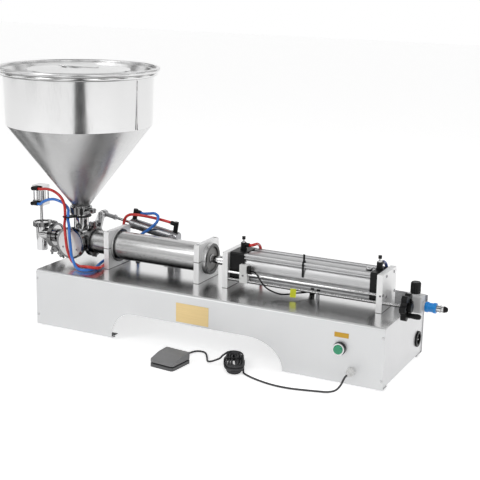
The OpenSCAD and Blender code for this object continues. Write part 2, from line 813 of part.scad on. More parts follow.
module base_cover() {
  color("gainsboro") difference() {
    union() {
      along_x(-base_l / 2, base_l / 2) difference() {
        round_top(base_w, low_z, top_z, bend_r);
        round_top(base_w - 2 * sheet, low_z - over, under_z, bend_r - sheet);
      }
      for (side = [-1, 1])
        translate([-base_l / 2, side * (base_w - lip_w) / 2 - lip_w / 2, low_z])
          cube([base_l, lip_w, sheet]);
    }
    along_y(front_y - over, -front_y + over) polygon(concat(
      [[arch_x0, low_z - over]],
      arch_corner(arch_x0, arch_corner_left, 1),
      reversed(arch_corner(arch_x1, arch_corner_right, -1)),
      [[arch_x1, low_z - over]]));
    bar_y(front_y - over, front_y + sheet + over, housing_r + hold_gap,
      button_x, low_z + button_h);
    bar_y(front_y - over, front_y + sheet + over, gland_r + hold_gap,
      gland_x, low_z + gland_h);
    for (place = bulkheads)
      bar_z(under_z - over, top_z + over, bulkhead_stem_r + hold_gap,
        place[0], place[1]);
  }
}

// End panel with its folded foot, seen from the left end
module end_panel(outer_x, inward) {
  inner_x = outer_x + inward * sheet;
  lip_x = outer_x + inward * lip_w;
  panel_w = base_w - 2 * sheet - 2 * panel_gap;
  panel_low = low_z + sheet + panel_gap;
  along_x(min(outer_x, inner_x), max(outer_x, inner_x))
    round_top(panel_w, panel_low, under_z - panel_gap, bend_r - sheet - panel_gap);
  box([min(outer_x, lip_x), -panel_w / 2, panel_low],
    [max(outer_x, lip_x), panel_w / 2, panel_low + sheet]);
}

module left_end_panel() {
  color("silver") end_panel(-base_l / 2 + panel_inset, 1);
}

inlet_body_r = 17;
inlet_flange_t = 4;
inlet_depth = 26;
inlet_recess_r = 14;
inlet_recess = 16;
inlet_pin_r = 2;
inlet_pin_at = 6;
inlet_x = base_l / 2 - panel_inset;
inlet_z = low_z + inlet_up;

module right_end_panel() {
  color("silver") difference() {
    end_panel(inlet_x, -1);
    bar_x(inlet_x - sheet - over, inlet_x + over, inlet_body_r + hold_gap,
      inlet_y, inlet_z);
  }
}

module feet() {
  foot_taper = 2;
  places = [foot_end_inset - base_l / 2, arch_x0 - foot_end_inset,
    arch_x1 + foot_end_inset, base_l / 2 - foot_end_inset];
  for (x = places, side = [-1, 1])
    color("black") translate([x, side * (base_w / 2 - foot_inset), 0])
      cylinder(h = foot_h, r1 = foot_r - foot_taper, r2 = foot_r);
}

// Modules of the product cylinder

// Place of each clamp plate's left face
clamp_places = [front_x, rear_clamp_x - clamp_t];

module lower_clamp_plates() {
  for (x = clamp_places) color("whitesmoke") difference() {
    box([x, -clamp_w / 2, top_z], [x + clamp_t, clamp_w / 2, axis_z]);
    bar_x(x - over, x + clamp_t + over, tube_r + hold_gap);
    for (side = [-1, 1])
      bar_z(axis_z - bolt_depth - over, axis_z + over, clamp_bolt_r + hold_gap,
        x + clamp_t / 2, side * clamp_bolt_y);
  }
}

module upper_clamp_plates() {
  top = axis_z + clamp_upper_h;
  half = clamp_w / 2;
  for (x = clamp_places) color("whitesmoke") difference() {
    along_x(x, x + clamp_t) polygon([[-half, axis_z], [half, axis_z],
      [half, top - clamp_chamfer], [half - clamp_chamfer, top],
      [clamp_chamfer - half, top], [-half, top - clamp_chamfer]]);
    bar_x(x - over, x + clamp_t + over, tube_r + hold_gap);
    for (side = [-1, 1]) {
      bar_z(axis_z - over, top + over, clamp_bolt_r + hold_gap,
        x + clamp_t / 2, side * clamp_bolt_y);
      bar_z(top - bolt_head_h - edge, top + over, bolt_head_r + hold_gap,
        x + clamp_t / 2, side * clamp_bolt_y);
    }
  }
}

module clamp_bolts() {
  head_z = axis_z + clamp_upper_h - bolt_head_h - edge;
  socket_r = 2.5;
  socket_depth = 4;
  for (x = clamp_places, side = [-1, 1]) color("silver") difference() {
    union() {
      bar_z(axis_z - bolt_depth, head_z, clamp_bolt_r, x + clamp_t / 2,
        side * clamp_bolt_y);
      bar_z(head_z, head_z + bolt_head_h, bolt_head_r, x + clamp_t / 2,
        side * clamp_bolt_y);
    }
    translate([x + clamp_t / 2, side * clamp_bolt_y,
      head_z + bolt_head_h - socket_depth])
      cylinder(h = socket_depth + over, r = socket_r, $fn = 6);
  }
}

module product_cylinder() {
  flange_at = clamp_t;
  ring_at = clamp_t + clamp_span;
  color("lightgray") difference() {
    turned_x(front_x, [[0, -stub_l - ferrule_t], [cyl_ferrule_r, -stub_l - ferrule_t],
      [cyl_ferrule_r, -stub_l], [stub_r, -stub_l], [stub_r, 0], [tube_r, 0],
      [tube_r, flange_at], [flange_r - edge, flange_at],
      [flange_r, flange_at + edge], [flange_r, flange_at + flange_t - edge],
      [flange_r - edge, flange_at + flange_t], [tube_r, flange_at + flange_t],
      [tube_r, ring_at], [end_ring_r, ring_at], [end_ring_r, tube_l - edge],
      [end_ring_r - edge, tube_l], [0, tube_l]]);
    bar_x(front_x - stub_l - ferrule_t - over, front_x + tube_wall_t + over,
      stub_bore_r);
    bar_x(front_x + tube_wall_t, front_x + tube_l + over, tube_bore_r);
  }
}

// Groove places along the piston
seal_places = [piston_x + seal_inset, piston_x + piston_l - seal_inset - seal_w];
piston_r = tube_bore_r - 4 * run_gap;

module piston_head() {
  color("white") difference() {
    chamfered_x(piston_x, piston_x + piston_l, piston_r);
    for (x = seal_places) difference() {
      bar_x(x, x + seal_w, tube_bore_r + over);
      bar_x(x - over, x + seal_w + over, piston_r - seal_depth);
    }
  }
}

module piston_seals() {
  for (x = seal_places) color("dimgray")
    turned_x(x + hold_gap, [[piston_r - seal_depth + hold_gap, 0],
      [tube_bore_r - run_gap, 0], [tube_bore_r - run_gap, seal_w - 2 * hold_gap],
      [piston_r - seal_depth + hold_gap, seal_w - 2 * hold_gap]]);
}

module piston_rod() {
  lip = 2;
  neck = 4;
  end_x = piston_x + piston_l;
  color("silver") {
    bar_x(end_x, coupling_x + edge, rod_r);
    chamfered_x(end_x, end_x + neck, rod_r + lip);
    chamfered_x(coupling_x, coupling_x + coupling_l, coupling_r, break = lip);
  }
}

air_piston_x = rear_cap_x - air_piston_gap - air_piston_l;

module air_piston() {
  color("silver") {
    bar_x(coupling_x + coupling_l, air_piston_x + edge, rod_r);
    chamfered_x(air_piston_x, air_piston_x + air_piston_l, barrel_bore_r - run_gap);
  }
}

// Modules of the valve

module valve_body() {
  cyl_face = valve_x + port_reach;
  flange_lip = ferrule_t;
  color("lightgray") difference() {
    union() {
      bar_y(-valve_front, valve_back, valve_r, valve_x, axis_z);
      bar_y(-valve_front, -valve_front + flange_lip, cover_flange_r,
        valve_x, axis_z);
      bar_x(valve_x, cyl_face, stub_r);
      bar_x(cyl_face - ferrule_t, cyl_face, cyl_ferrule_r);
      bar_x(outlet_x, valve_x, outlet_r);
      bar_x(outlet_x, outlet_x + ferrule_t, outlet_ferrule_r);
      bar_z(axis_z, top_port_z, top_r, valve_x);
      bar_z(top_port_z - ferrule_t, top_port_z, top_ferrule_r, valve_x);
    }
    bar_y(-valve_front - over, valve_back - valve_wall, rotor_r + run_gap,
      valve_x, axis_z);
    bar_y(valve_back - valve_wall - over, valve_back + over, shaft_r + run_gap,
      valve_x, axis_z);
    bar_x(outlet_x - over, cyl_face + over, port_bore_r);
    bar_z(axis_z, top_port_z + over, port_bore_r, valve_x);
  }
}

module valve_front_cover() {
  face_y = -valve_front - cover_t;
  rim_t = ferrule_t;
  step = 3;
  color("silver") difference() {
    union() {
      bar_y(-valve_front - rim_t, -valve_front, cover_flange_r, valve_x, axis_z);
      bar_y(face_y, -valve_front, cover_flange_r - step, valve_x, axis_z);
    }
    bar_y(face_y - over, face_y + edge, hub_r, valve_x, axis_z);
  }
}

// Hinged ring clamp about Z, its wing bolt on the +X side
clamp_lip = 2.5;
clamp_wall = 3;
module ring_clamp(ferrule_r, width) {
  out_r = ferrule_r + clamp_wall;
  groove = ferrule_t + seat_gap;
  lip_r = ferrule_r - clamp_lip;
  ear_w = 7;
  ear_l = 13;
  bolt_r = 3;
  bolt_half = 15;
  wing_h = 20;
  wing_t = 3;
  hinge_r = 4;
  difference() {
    union() {
      translate([0, 0, -width / 2]) cylinder(h = width, r = out_r);
      for (side = [-1, 1])
        translate([lip_r, side * (ear_w / 2 + edge) - ear_w / 2, -width / 3])
          cube([clamp_lip + clamp_wall + ear_l, ear_w, 2 * width / 3]);
      for (z = [-width / 2, width / 6])
        translate([-out_r, 0, z]) cylinder(h = width / 3, r = hinge_r);
    }
    translate([0, 0, -width / 2 - over]) cylinder(h = width + 2 * over, r = lip_r);
    rotate_extrude() polygon([[0, -groove - edge], [lip_r, -groove - edge],
      [ferrule_r + seat_gap, -groove], [ferrule_r + seat_gap, groove],
      [lip_r, groove + edge], [0, groove + edge]]);
  }
  translate([out_r + ear_l / 2, bolt_half, 0]) rotate([90, 0, 0])
    cylinder(h = 2 * bolt_half, r = bolt_r);
  translate([out_r + ear_l / 2, -bolt_half, 0]) {
    rotate([90, 0, 0]) cylinder(h = ear_w, r = ear_w / 2 + edge);
    translate([-wing_h / 2, -ear_w, -wing_t / 2]) cube([wing_h, ear_w, wing_t]);
  }
}

hopper_clamp_w = 18;
pipe_clamp_w = 12;
module tri_clamps() {
  color("silver") translate([valve_x, 0, top_port_z])
    ring_clamp(top_ferrule_r, hopper_clamp_w);
  color("silver") translate([front_x - stub_l - ferrule_t, 0, axis_z])
    rotate([0, -90, 0]) ring_clamp(cyl_ferrule_r, pipe_clamp_w);
  color("silver") translate([outlet_x, 0, axis_z])
    rotate([0, 90, 0]) ring_clamp(outlet_ferrule_r, pipe_clamp_w);
  color("silver") translate([nozzle_x, 0, nozzle_top_z])
    rotate([0, 0, 90]) ring_clamp(nozzle_ferrule_r, pipe_clamp_w);
  color("silver") translate([valve_x, -valve_front, axis_z])
    rotate([90, 0, 0]) rotate([0, 0, cover_clamp_turn])
      ring_clamp(cover_flange_r, pipe_clamp_w);
}
// Turn of the cover's wing bolt from the line to the product cylinder
cover_clamp_turn = -135;

module valve_rotor() {
  front = -valve_front + seat_gap;
  back = valve_back - valve_wall - seat_gap;
  color("silver") difference() {
    union() {
      bar_y(front, back, rotor_r, valve_x, axis_z);
      bar_y(back, lever_y + lever_t + edge, shaft_r, valve_x, axis_z);
    }
    bar_x(valve_x - rotor_r - over, valve_x + rotor_r + over, rotor_bore_r);
    bar_z(axis_z - rotor_r - over, axis_z, rotor_bore_r, valve_x);
  }
}

// Carries the lever's outline from the valve's axis to the lever's pin
module lever_outline() {
  difference() {
    union() {
      circle(lever_hub_r);
      translate([lever_l, 0]) circle(lever_tip_r);
      polygon([[0, -lever_hub_r], [lever_l, -lever_tip_r],
        [lever_l, lever_tip_r], [0, lever_hub_r]]);
    }
    circle(shaft_r + hold_gap);
  }
}

module valve_lever() {
  washer_t = 2;
  pin_end = actuator_y + eye_w / 2 + seat_gap;
  color("silver") {
    translate([valve_x, lever_y + lever_t, axis_z]) rotate([90, 0, 0])
      linear_extrude(lever_t) rotate(lever_angle) lever_outline();
    bar_y(lever_y, pin_end + washer_t, pin_r, lever_pin[0], lever_pin[1]);
    bar_y(pin_end, pin_end + washer_t, pin_r + 2 * edge, lever_pin[0], lever_pin[1]);
  }
}

// Frame of the actuator: +X runs from its rear pivot to the lever's pin
module on_actuator() {
  translate([pivot_x, actuator_y, pivot_z]) rotate([0, -actuator_turn, 0]) children();
}

module rod_end() {
  nut_r = 8.5;
  nut_t = 6;
  color("dimgray") on_actuator() difference() {
    union() {
      bar_y(-eye_w / 2, eye_w / 2, eye_r, actuator_reach, 0);
      bar_x(actuator_reach - shank_l, actuator_reach - eye_r / 2, shank_r, 0, 0);
      translate([actuator_reach - shank_l, 0, 0]) rotate([0, 90, 0])
        cylinder(h = nut_t, r = nut_r, $fn = 6);
    }
    bar_y(-eye_w, eye_w, pin_r + run_gap, actuator_reach, 0);
  }
}

actuator_front = actuator_l - actuator_cap_l;
module actuator_body() {
  nose_l = 6;
  color("silver") on_actuator() difference() {
    union() {
      chamfered_x(-rear_half_l, rear_half_l, actuator_cap_r, 0, 0);
      bar_x(rear_half_l, actuator_front, actuator_barrel_r, 0, 0);
      chamfered_x(actuator_front, actuator_l, actuator_cap_r, 0, 0);
      bar_x(actuator_l, actuator_l + nose_l, 2 * actuator_rod_r, 0, 0);
    }
    bar_y(-actuator_cap_r - over, actuator_cap_r + over, pin_r + run_gap, 0, 0);
    bar_x(rear_half_l, actuator_front, actuator_bore_r, 0, 0);
    bar_x(actuator_front - over, actuator_l + nose_l + over,
      actuator_rod_r + run_gap, 0, 0);
  }
}

module actuator_rod() {
  piston_l = 10;
  piston = rear_half_l + 5 * edge;
  color("silver") on_actuator() {
    bar_x(piston, actuator_reach - shank_l - link_gap, actuator_rod_r, 0, 0);
    bar_x(piston, piston + piston_l, actuator_bore_r - run_gap, 0, 0);
  }
}

// Elbow on an actuator's cap, its outlet turned towards the other cap
module actuator_elbow(at, way) {
  low = min(at, at + way * elbow_reach);
  bar_z(-actuator_cap_r - actuator_stem, -actuator_cap_r + edge / 2, fitting_r, at);
  bar_x(low, low + elbow_reach, fitting_r - edge / 2, 0, -elbow_up);
}

module actuator_fittings() {
  color("black") on_actuator() difference() {
    union() {
      actuator_elbow(0, 1);
      actuator_elbow(front_port_at, -1);
    }
    bar_x(-rear_half_l, actuator_l, actuator_cap_r + hold_gap / 3, 0, 0);
  }
}

module actuator_bracket() {
  foot_t = 4;
  foot_l = 44;
  head_t = 2;
  inner = actuator_cap_r + seat_gap;
  outer = inner + cheek_t;
  color("silver") {
    for (side = [-1, 1])
      along_y(actuator_y + (side > 0 ? inner : -outer),
        actuator_y + (side > 0 ? outer : -inner)) {
        translate([pivot_x - cheek_w / 2, top_z])
          square([cheek_w, pivot_z - top_z]);
        translate([pivot_x, pivot_z]) circle(cheek_w / 2);
      }
    box([pivot_x - foot_l / 2, actuator_y - outer, top_z],
      [pivot_x + foot_l / 2, actuator_y + outer, top_z + foot_t]);
    bar_y(actuator_y - outer - head_t, actuator_y + outer + head_t, pin_r,
      pivot_x, pivot_z);
  }
}

// Modules of the hopper

module hopper() {
  inner_r = port_bore_r;
  color("silver") translate([valve_x, 0, 0]) rotate_extrude() {
    polygon([[inner_r, top_port_z], [top_ferrule_r, top_port_z],
      [top_ferrule_r, top_port_z + ferrule_t], [neck_r, top_port_z + ferrule_t],
      [neck_r, cone_z], [hopper_low_r, wall_z], [hopper_r, rim_z],
      [hopper_r - hopper_t, rim_z], [hopper_low_r - hopper_t, wall_z],
      [neck_r - cone_wall, cone_z], [inner_r, cone_z - cone_wall]]);
    translate([bead_ring_r, rim_z]) circle(bead_r);
  }
}

// Radius and height of the lid's sheet, from its rolled edge to its centre
lid_line = [[bead_ring_r, 0], [trough_out_r + trough_slope, 0],
  [trough_out_r, -trough_depth], [trough_in_r, -trough_depth],
  [trough_in_r - trough_slope, 0], [dish_r + trough_slope, dome_h],
  [dish_r, dome_h - lid_t], [dish_r - trough_slope, dome_h - dish_depth],
  [0, dome_h - dish_depth]];
function shifted(line, by) = [for (p = line) p + by];

module hopper_lid() {
  // The sheet's upper line is moved sideways too, to keep its walls thick
  thick = lid_t / 2;
  upper = [for (p = lid_line) [p[0], p[1] + lid_t]];
  edge_ring_r = bead_ring_r + bead_r + thick;
  strap_z = lid_z + dome_h + lid_t / 2;
  color("silver") translate([valve_x, 0, lid_z]) rotate_extrude() {
    polygon(concat(lid_line, reversed(upper)));
    translate([edge_ring_r, lid_edge_r - thick]) circle(lid_edge_r);
    polygon([[bead_ring_r, 0], [edge_ring_r, 0], [edge_ring_r, lid_t],
      [bead_ring_r, lid_t]]);
  }
  color("silver") box([valve_x - strap_l / 2, -strap_w / 2, strap_z],
    [valve_x + strap_l / 2, strap_w / 2, strap_z + strap_t]);
}

// Plate round the hopper port that holds the two nozzle tubes
module tube_clip() {
  clip_t = 3;
  clip_z = top_port_z - hopper_clamp_w / 2 - clip_t - 2 * clip_t;
  holes = [red_clip, blue_clip];
  middle = (red_clip + blue_clip) / 2 - [valve_x, 0];
  rim = 7;
  color("black") translate([valve_x, 0, clip_z]) linear_extrude(clip_t) difference() {
    union() {
      circle(top_r + rim);
      rotate(atan2(middle[1], middle[0])) translate([0, -2 * rim])
        square([norm(middle), 4 * rim]);
      for (hole = holes) translate(hole - [valve_x, 0]) circle(rim);
    }
    circle(top_r + seat_gap);
    for (hole = holes)
      translate(hole - [valve_x, 0]) circle(air_tube_r + seat_gap);
  }
}

// Modules of the nozzle

module nozzle_body() {
  color("lightgray") difference() {
    union() {
      bar_z(nozzle_low_z, nozzle_top_z, nozzle_r, nozzle_x);
      bar_z(nozzle_top_z - ferrule_t, nozzle_top_z, nozzle_ferrule_r, nozzle_x);
      bar_x(nozzle_x, outlet_x, tee_r);
      bar_x(outlet_x - ferrule_t, outlet_x, outlet_ferrule_r);
    }
    bar_z(nozzle_low_z - over, seat_z, mouth_r, nozzle_x);
    bar_z(seat_z - over, seat_z + seat_t + over, seat_r, nozzle_x);
    bar_z(seat_z + seat_t, nozzle_top_z + over, nozzle_bore_r, nozzle_x);
    bar_x(nozzle_x, outlet_x + over, nozzle_bore_r);
  }
}

module nozzle_air_cylinder() {
  cap_plug = 3;
  color("silver") difference() {
    union() {
      bar_z(nozzle_top_z - cap_plug, nozzle_top_z, nozzle_bore_r - hold_gap,
        nozzle_x);
      bar_z(nozzle_top_z, nozzle_top_z + ferrule_t, nozzle_ferrule_r, nozzle_x);
      bar_z(nozzle_top_z, small_z, stem_r, nozzle_x);
      for (z = [small_z, small_top_z])
        translate([nozzle_x, 0, z]) linear_extrude(small_plate_h)
          round_square(small_side, small_side, tie_r);
      bar_z(small_barrel_z, small_top_z, small_barrel_r, nozzle_x);
      for (sx = [-1, 1], sy = [-1, 1])
        bar_z(small_barrel_z, small_top_z, tie_r, nozzle_x + sx * tie_at,
          sy * tie_at);
    }
    bar_z(nozzle_top_z - cap_plug - over, small_barrel_z, plunger_r + run_gap,
      nozzle_x);
    bar_z(small_barrel_z, small_top_z, small_bore_r, nozzle_x);
  }
}

module nozzle_plunger() {
  head_z = seat_z + seat_t + seat_gap;
  piston_z = small_barrel_z + 2 * edge;
  color("silver") {
    bar_z(seat_z + edge, head_z, seat_r - run_gap, nozzle_x);
    bar_z(head_z, head_z + plunger_head_h, plunger_head_r, nozzle_x);
    bar_z(head_z + plunger_head_h, piston_z, plunger_r, nozzle_x);
    bar_z(piston_z, piston_z + small_piston_h, small_bore_r - run_gap, nozzle_x);
  }
}

// Modules of the air cylinder and its volume setting

module air_end_plates() {
  for (x = [air_x, rear_plate_x]) color("whitesmoke") difference() {
    box([x, -air_plate_w / 2, top_z], [x + air_plate_t, air_plate_w / 2,
      top_z + air_plate_h]);
    bar_x(x - over, x + air_plate_t + over, rail_r + hold_gap, -rail_y, guide_z);
    bar_x(x - over, x + air_plate_t + over, rail_r + run_gap, -rail_y, screw_z);
    if (x == air_x)
      bar_x(x - over, x + air_plate_t + over, rod_r + run_gap);
  }
}

module air_cylinder_caps() {
  cap_corner = 5;
  color("black") for (cap = [[front_cap_x, barrel_x], [rear_cap_x, rear_plate_x]])
    difference() {
      along_x(cap[0], cap[1]) translate([0, axis_z])
        round_square(cap_side, cap_side, cap_corner);
      if (cap[1] == barrel_x)
        bar_x(cap[0] - over, cap[1] + over, rod_r + run_gap);
    }
}

// Cross-section of the barrel: a round body and four grooved corner ribs
module barrel_outline() {
  rib_corner = 3;
  middle = barrel_half - rib_side / 2;
  difference() {
    union() {
      circle(barrel_r);
      for (sx = [-1, 1], sy = [-1, 1])
        translate([sx * middle, sy * middle])
          round_square(rib_side, rib_side, rib_corner);
    }
    circle(barrel_bore_r);
    for (sx = [-1, 1], sy = [-1, 1]) {
      translate([sx * (barrel_half - groove_depth / 2 + over / 2), sy * middle])
        square([groove_depth + over, groove_w], center = true);
      translate([sx * middle, sy * (barrel_half - groove_depth / 2 + over / 2)])
        square([groove_w, groove_depth + over], center = true);
    }
  }
}

module air_barrel() {
  color("silver") along_x(barrel_x, rear_cap_x)
    translate([0, axis_z]) barrel_outline();
}

module guide_rod() {
  color("silver") bar_x(air_x, air_end_x, rail_r, -rail_y, guide_z);
}

module rail_post() {
  post_x = air_x + post_at;
  color("silver") difference() {
    box([post_x, -rail_y - slider_w / 2, top_z],
      [post_x + post_t, -rail_y + slider_w / 2, screw_z]);
    bar_x(post_x - over, post_x + post_t + over, rail_r + seat_gap, -rail_y, screw_z);
  }
}

module slider_block() {
  slider_z = screw_z - rail_r;
  color("white") difference() {
    along_x(slider_x, slider_x + slider_l)
      translate([-rail_y - hold_gap * 2, slider_z + slider_h / 2])
        round_square(slider_w - hold_gap * 4, slider_h, edge);
    for (z = [guide_z, screw_z])
      bar_x(slider_x - over, slider_x + slider_l + over, rail_r + run_gap,
        -rail_y, z);
  }
}

module position_sensor() {
  x = slider_x + slider_l;
  color("dimgray") along_x(x, x + sensor_l)
    translate([-rail_y - sensor_w / 2 - hold_gap, sensor_z + sensor_h / 2])
      round_square(sensor_w, sensor_h, edge);
}

module lead_screw() {
  color("silver") bar_x(air_x, wheel_x + hub_l - wheel_t, rail_r, -rail_y, screw_z);
}

// Lobed outline of the handwheel
module wheel_outline() {
  middle_r = wheel_r - lobe_r;
  circle(middle_r + edge);
  for (i = [0:lobe_count - 1])
    rotate(360 * i / lobe_count) translate([middle_r, 0]) circle(lobe_r);
}

module handwheel() {
  rim_w = 7;
  web_depth = 4;
  wheel_end = wheel_x + wheel_t;
  grip_z = screw_z - grip_at;
  cap_t = 2;
  color("black") difference() {
    union() {
      along_x(wheel_x, wheel_end)
        translate([-rail_y, screw_z]) wheel_outline();
      bar_x(wheel_x, wheel_x + hub_l, hub_r, -rail_y, screw_z);
      bar_x(wheel_end - edge, wheel_end + grip_l + hold_gap, grip_pin_r,
        -rail_y, grip_z);
      bar_x(wheel_end + grip_l + hold_gap, wheel_end + grip_l + cap_t,
        grip_pin_r + edge, -rail_y, grip_z);
    }
    difference() {
      bar_x(wheel_end - web_depth, wheel_end + over, wheel_r - lobe_r - rim_w / 2,
        -rail_y, screw_z);
      bar_x(wheel_x, wheel_end + 2 * over, hub_r, -rail_y, screw_z);
      bar_x(wheel_x, wheel_end + 2 * over, grip_r + edge, -rail_y, grip_z);
    }
    bar_x(wheel_x - over, wheel_x + hub_l - wheel_t + hold_gap, rail_r + hold_gap,
      -rail_y, screw_z);
  }
}

module wheel_grip() {
  start = wheel_x + wheel_t + hold_gap;
  waist = 1;
  length = grip_l - 2 * hold_gap;
  color("black") turned_x(start, [[grip_pin_r + run_gap, 0], [grip_r - waist, 0],
    [grip_r - waist, length / 4], [grip_r, 3 * length / 4],
    [grip_r - waist, length], [grip_pin_r + run_gap, length]],
    -rail_y, screw_z - grip_at);
}

// Modules of the air supply

regulator_lift = 2;
regulator_port_l = 5;
bracket_x = air_end_x + bracket_gap;
regulator_x = bracket_x + regulator_at;
regulator_low = top_z + regulator_lift;
regulator_top = regulator_low + regulator_h;
bracket_y = regulator_y + regulator_w / 2;
inlet_axis_z = top_z + inlet_h;
regulator_end = regulator_x + regulator_l / 2;
nipple_x = regulator_end + regulator_port_l;

module regulator_body() {
  corner = 5;
  collar_r = 11;
  collar_h = 4;
  port_r = 12;
  color("lightgray") {
    translate([regulator_x, regulator_y, regulator_low])
      linear_extrude(regulator_h - collar_h)
        round_square(regulator_l, regulator_w, corner);
    bar_z(regulator_top - collar_h, regulator_top, collar_r,
      regulator_x, regulator_y);
    bar_x(regulator_end - edge, nipple_x, port_r,
      regulator_y, inlet_axis_z);
  }
}

// Ridged knob, standing over the regulator's collar
module regulator_knob() {
  ridge_r = 1.2;
  dome = 2;
  color("black") translate([regulator_x, regulator_y, regulator_top + seat_gap]) {
    rotate_extrude() polygon([[0, 0], [knob_r - ridge_r / 2, 0],
      [knob_r - ridge_r / 2, knob_h - dome], [knob_r - dome, knob_h],
      [0, knob_h]]);
    for (i = [0:ridge_count - 1]) rotate(360 * i / ridge_count)
      translate([knob_r - ridge_r, 0, edge])
        cylinder(h = knob_h - dome - 2 * edge, r = ridge_r, $fn = 6);
  }
}

module regulator_bracket() {
  foot_end = bracket_x + bracket_foot_l;
  color("silver") {
    box([bracket_x, bracket_y, top_z],
      [foot_end, bracket_y + bracket_t, top_z + bracket_h]);
    box([foot_end, bracket_y, top_z + bracket_t],
      [bracket_x + bracket_l, bracket_y + bracket_t, top_z + bracket_h]);
    box([bracket_x, bracket_y, top_z],
      [foot_end, bracket_y + bracket_foot, top_z + bracket_t]);
  }
}

module slide_valve_nipple() {
  barb = 1.5;
  barb_l = 8;
  bore = 4;
  collar_r = 10;
  color("silver") difference() {
    union() {
      bar_x(nipple_x, nipple_x + nipple_l - 2 * barb_l, nipple_r,
        regulator_y, inlet_axis_z);
      turned_x(nipple_x + nipple_l - 2 * barb_l, [[0, 0], [nipple_r - barb, 0],
        [nipple_r - barb, barb_l / 2], [nipple_r, barb_l / 2],
        [nipple_r - barb, barb_l], [nipple_r, barb_l],
        [nipple_r - 2 * barb, 2 * barb_l], [0, 2 * barb_l]],
        regulator_y, inlet_axis_z);
      bar_x(nipple_x + sleeve_l + sleeve_travel + edge,
        nipple_x + sleeve_l + sleeve_travel + 3 * edge, collar_r,
        regulator_y, inlet_axis_z);
    }
    bar_x(nipple_x + nipple_l / 2, nipple_x + nipple_l + over, bore,
      regulator_y, inlet_axis_z);
  }
}

module slide_valve_sleeve() {
  waist = 1.5;
  start = nipple_x + hold_gap;
  bore = nipple_r + run_gap;
  color("royalblue") turned_x(start, [[bore, 0], [sleeve_r - waist, 0],
    [sleeve_r, waist], [sleeve_r, sleeve_l / 4], [sleeve_r - waist, sleeve_l / 3],
    [sleeve_r - waist, 2 * sleeve_l / 3], [sleeve_r, 3 * sleeve_l / 4],
    [sleeve_r, sleeve_l - waist], [sleeve_r - waist, sleeve_l], [bore, sleeve_l]],
    regulator_y, inlet_axis_z);
}

module speed_controller(x) {
  nut_h = 5;
  body_h = 19;
  neck_h = 3;
  neck_r = 5;
  stem_r = 2.5;
  bar_z(cap_top, cap_top + nut_h, fitting_r + 2 * edge, x);
  bar_z(cap_top, cap_top + body_h, fitting_r + edge, x);
  bar_z(cap_top, cap_top + body_h + neck_h, neck_r, x);
  bar_z(cap_top, cap_top + speed_h, stem_r, x);
}

// Bulkhead fitting through the cabinet's top, its nut below
module bulkhead(place, height) {
  bar_z(under_z - bulkhead_nut_h, top_z + edge, bulkhead_stem_r, place[0], place[1]);
  bar_z(under_z - bulkhead_nut_h, under_z, fitting_r + edge, place[0], place[1]);
  bar_z(top_z, top_z + height, fitting_r, place[0], place[1]);
}

module air_fittings() {
  tall = side_port_h + fitting_r;
  color("black") {
    for (elbow = [red_elbow, blue_elbow]) {
      bar_y(-small_side / 2 - elbow_stem, -small_side / 2, fitting_r - edge,
        elbow[0], elbow[1]);
      bar_x(elbow[0], elbow[0] + elbow_reach, fitting_r - edge,
        nozzle_elbow_y, elbow[1]);
    }
    for (x = speed_places) speed_controller(x);
    bar_x(speed_places[0], speed_places[0] + elbow_reach, fitting_r - edge,
      0, speed_elbow_z);
    bar_y(0, elbow_reach, fitting_r - edge, speed_places[1], speed_elbow_z);
    for (place = [left_port, right_port, actuator_left_port, actuator_right_port])
      bulkhead(place, bulkhead_h);
    for (place = [red_port, blue_port, sensor_port]) {
      bulkhead(place, tall);
      bar_y(place[1] - side_port_l, place[1], fitting_r - edge,
        place[0], top_z + side_port_h);
    }
  }
}

// Knob of a speed controller, on the controller's top
module speed_knob(x) {
  ridge_r = 0.8;
  start = cap_top + speed_h + seat_gap;
  color("black") {
    bar_z(start, start + speed_knob_h, speed_knob_r - ridge_r / 2, x);
    for (i = [0:ridge_count - 1]) translate([x, 0, start])
      rotate(360 * i / ridge_count) translate([speed_knob_r - ridge_r, 0, 0])
        cylinder(h = speed_knob_h, r = ridge_r, $fn = 4);
  }
}

module speed_knob_left() {
  speed_knob(speed_places[0]);
}

module speed_knob_right() {
  speed_knob(speed_places[1]);
}

// Modules of the tubes and the cable

module nozzle_tubes() {
  color("firebrick") swept_tube(smooth(red_route, route_steps), air_tube_r);
  color("royalblue") swept_tube(smooth(blue_route, route_steps), air_tube_r);
}

module cylinder_tubes() {
  color("firebrick") swept_tube(smooth(left_route, route_steps), air_tube_r);
  color("royalblue") swept_tube(smooth(right_route, route_steps), air_tube_r);
}

module actuator_tubes() {
  color("royalblue") swept_tube(smooth(front_tube_route, route_steps), air_tube_r);
  color("firebrick") swept_tube(smooth(rear_tube_route, route_steps), air_tube_r);
}

module sensor_cable() {
  color("black") swept_tube(smooth(sensor_route, route_steps), sensor_cable_r);
}

// Modules of the controls

button_z = low_z + button_h;
button_floor = 2;
button_stem_r = 5;
module button_housing() {
  bezel_t = 5;
  depth = 36;
  floor_t = 16;
  face_y = front_y - collar_t - bezel_t;
  color("silver") difference() {
    union() {
      bar_y(front_y - collar_t, front_y, collar_r, button_x, button_z);
      bar_y(face_y, front_y - collar_t, bezel_r, button_x, button_z);
      bar_y(front_y, front_y + depth, housing_r, button_x, button_z);
      translate([button_x, front_y + sheet + bezel_t, button_z])
        rotate([90, 0, 0]) cylinder(h = bezel_t, r = bezel_r, $fn = 6);
    }
    bar_y(face_y - over, front_y - button_floor, button_r + run_gap,
      button_x, button_z);
    bar_y(face_y, front_y + depth - floor_t, button_stem_r + run_gap,
      button_x, button_z);
  }
}

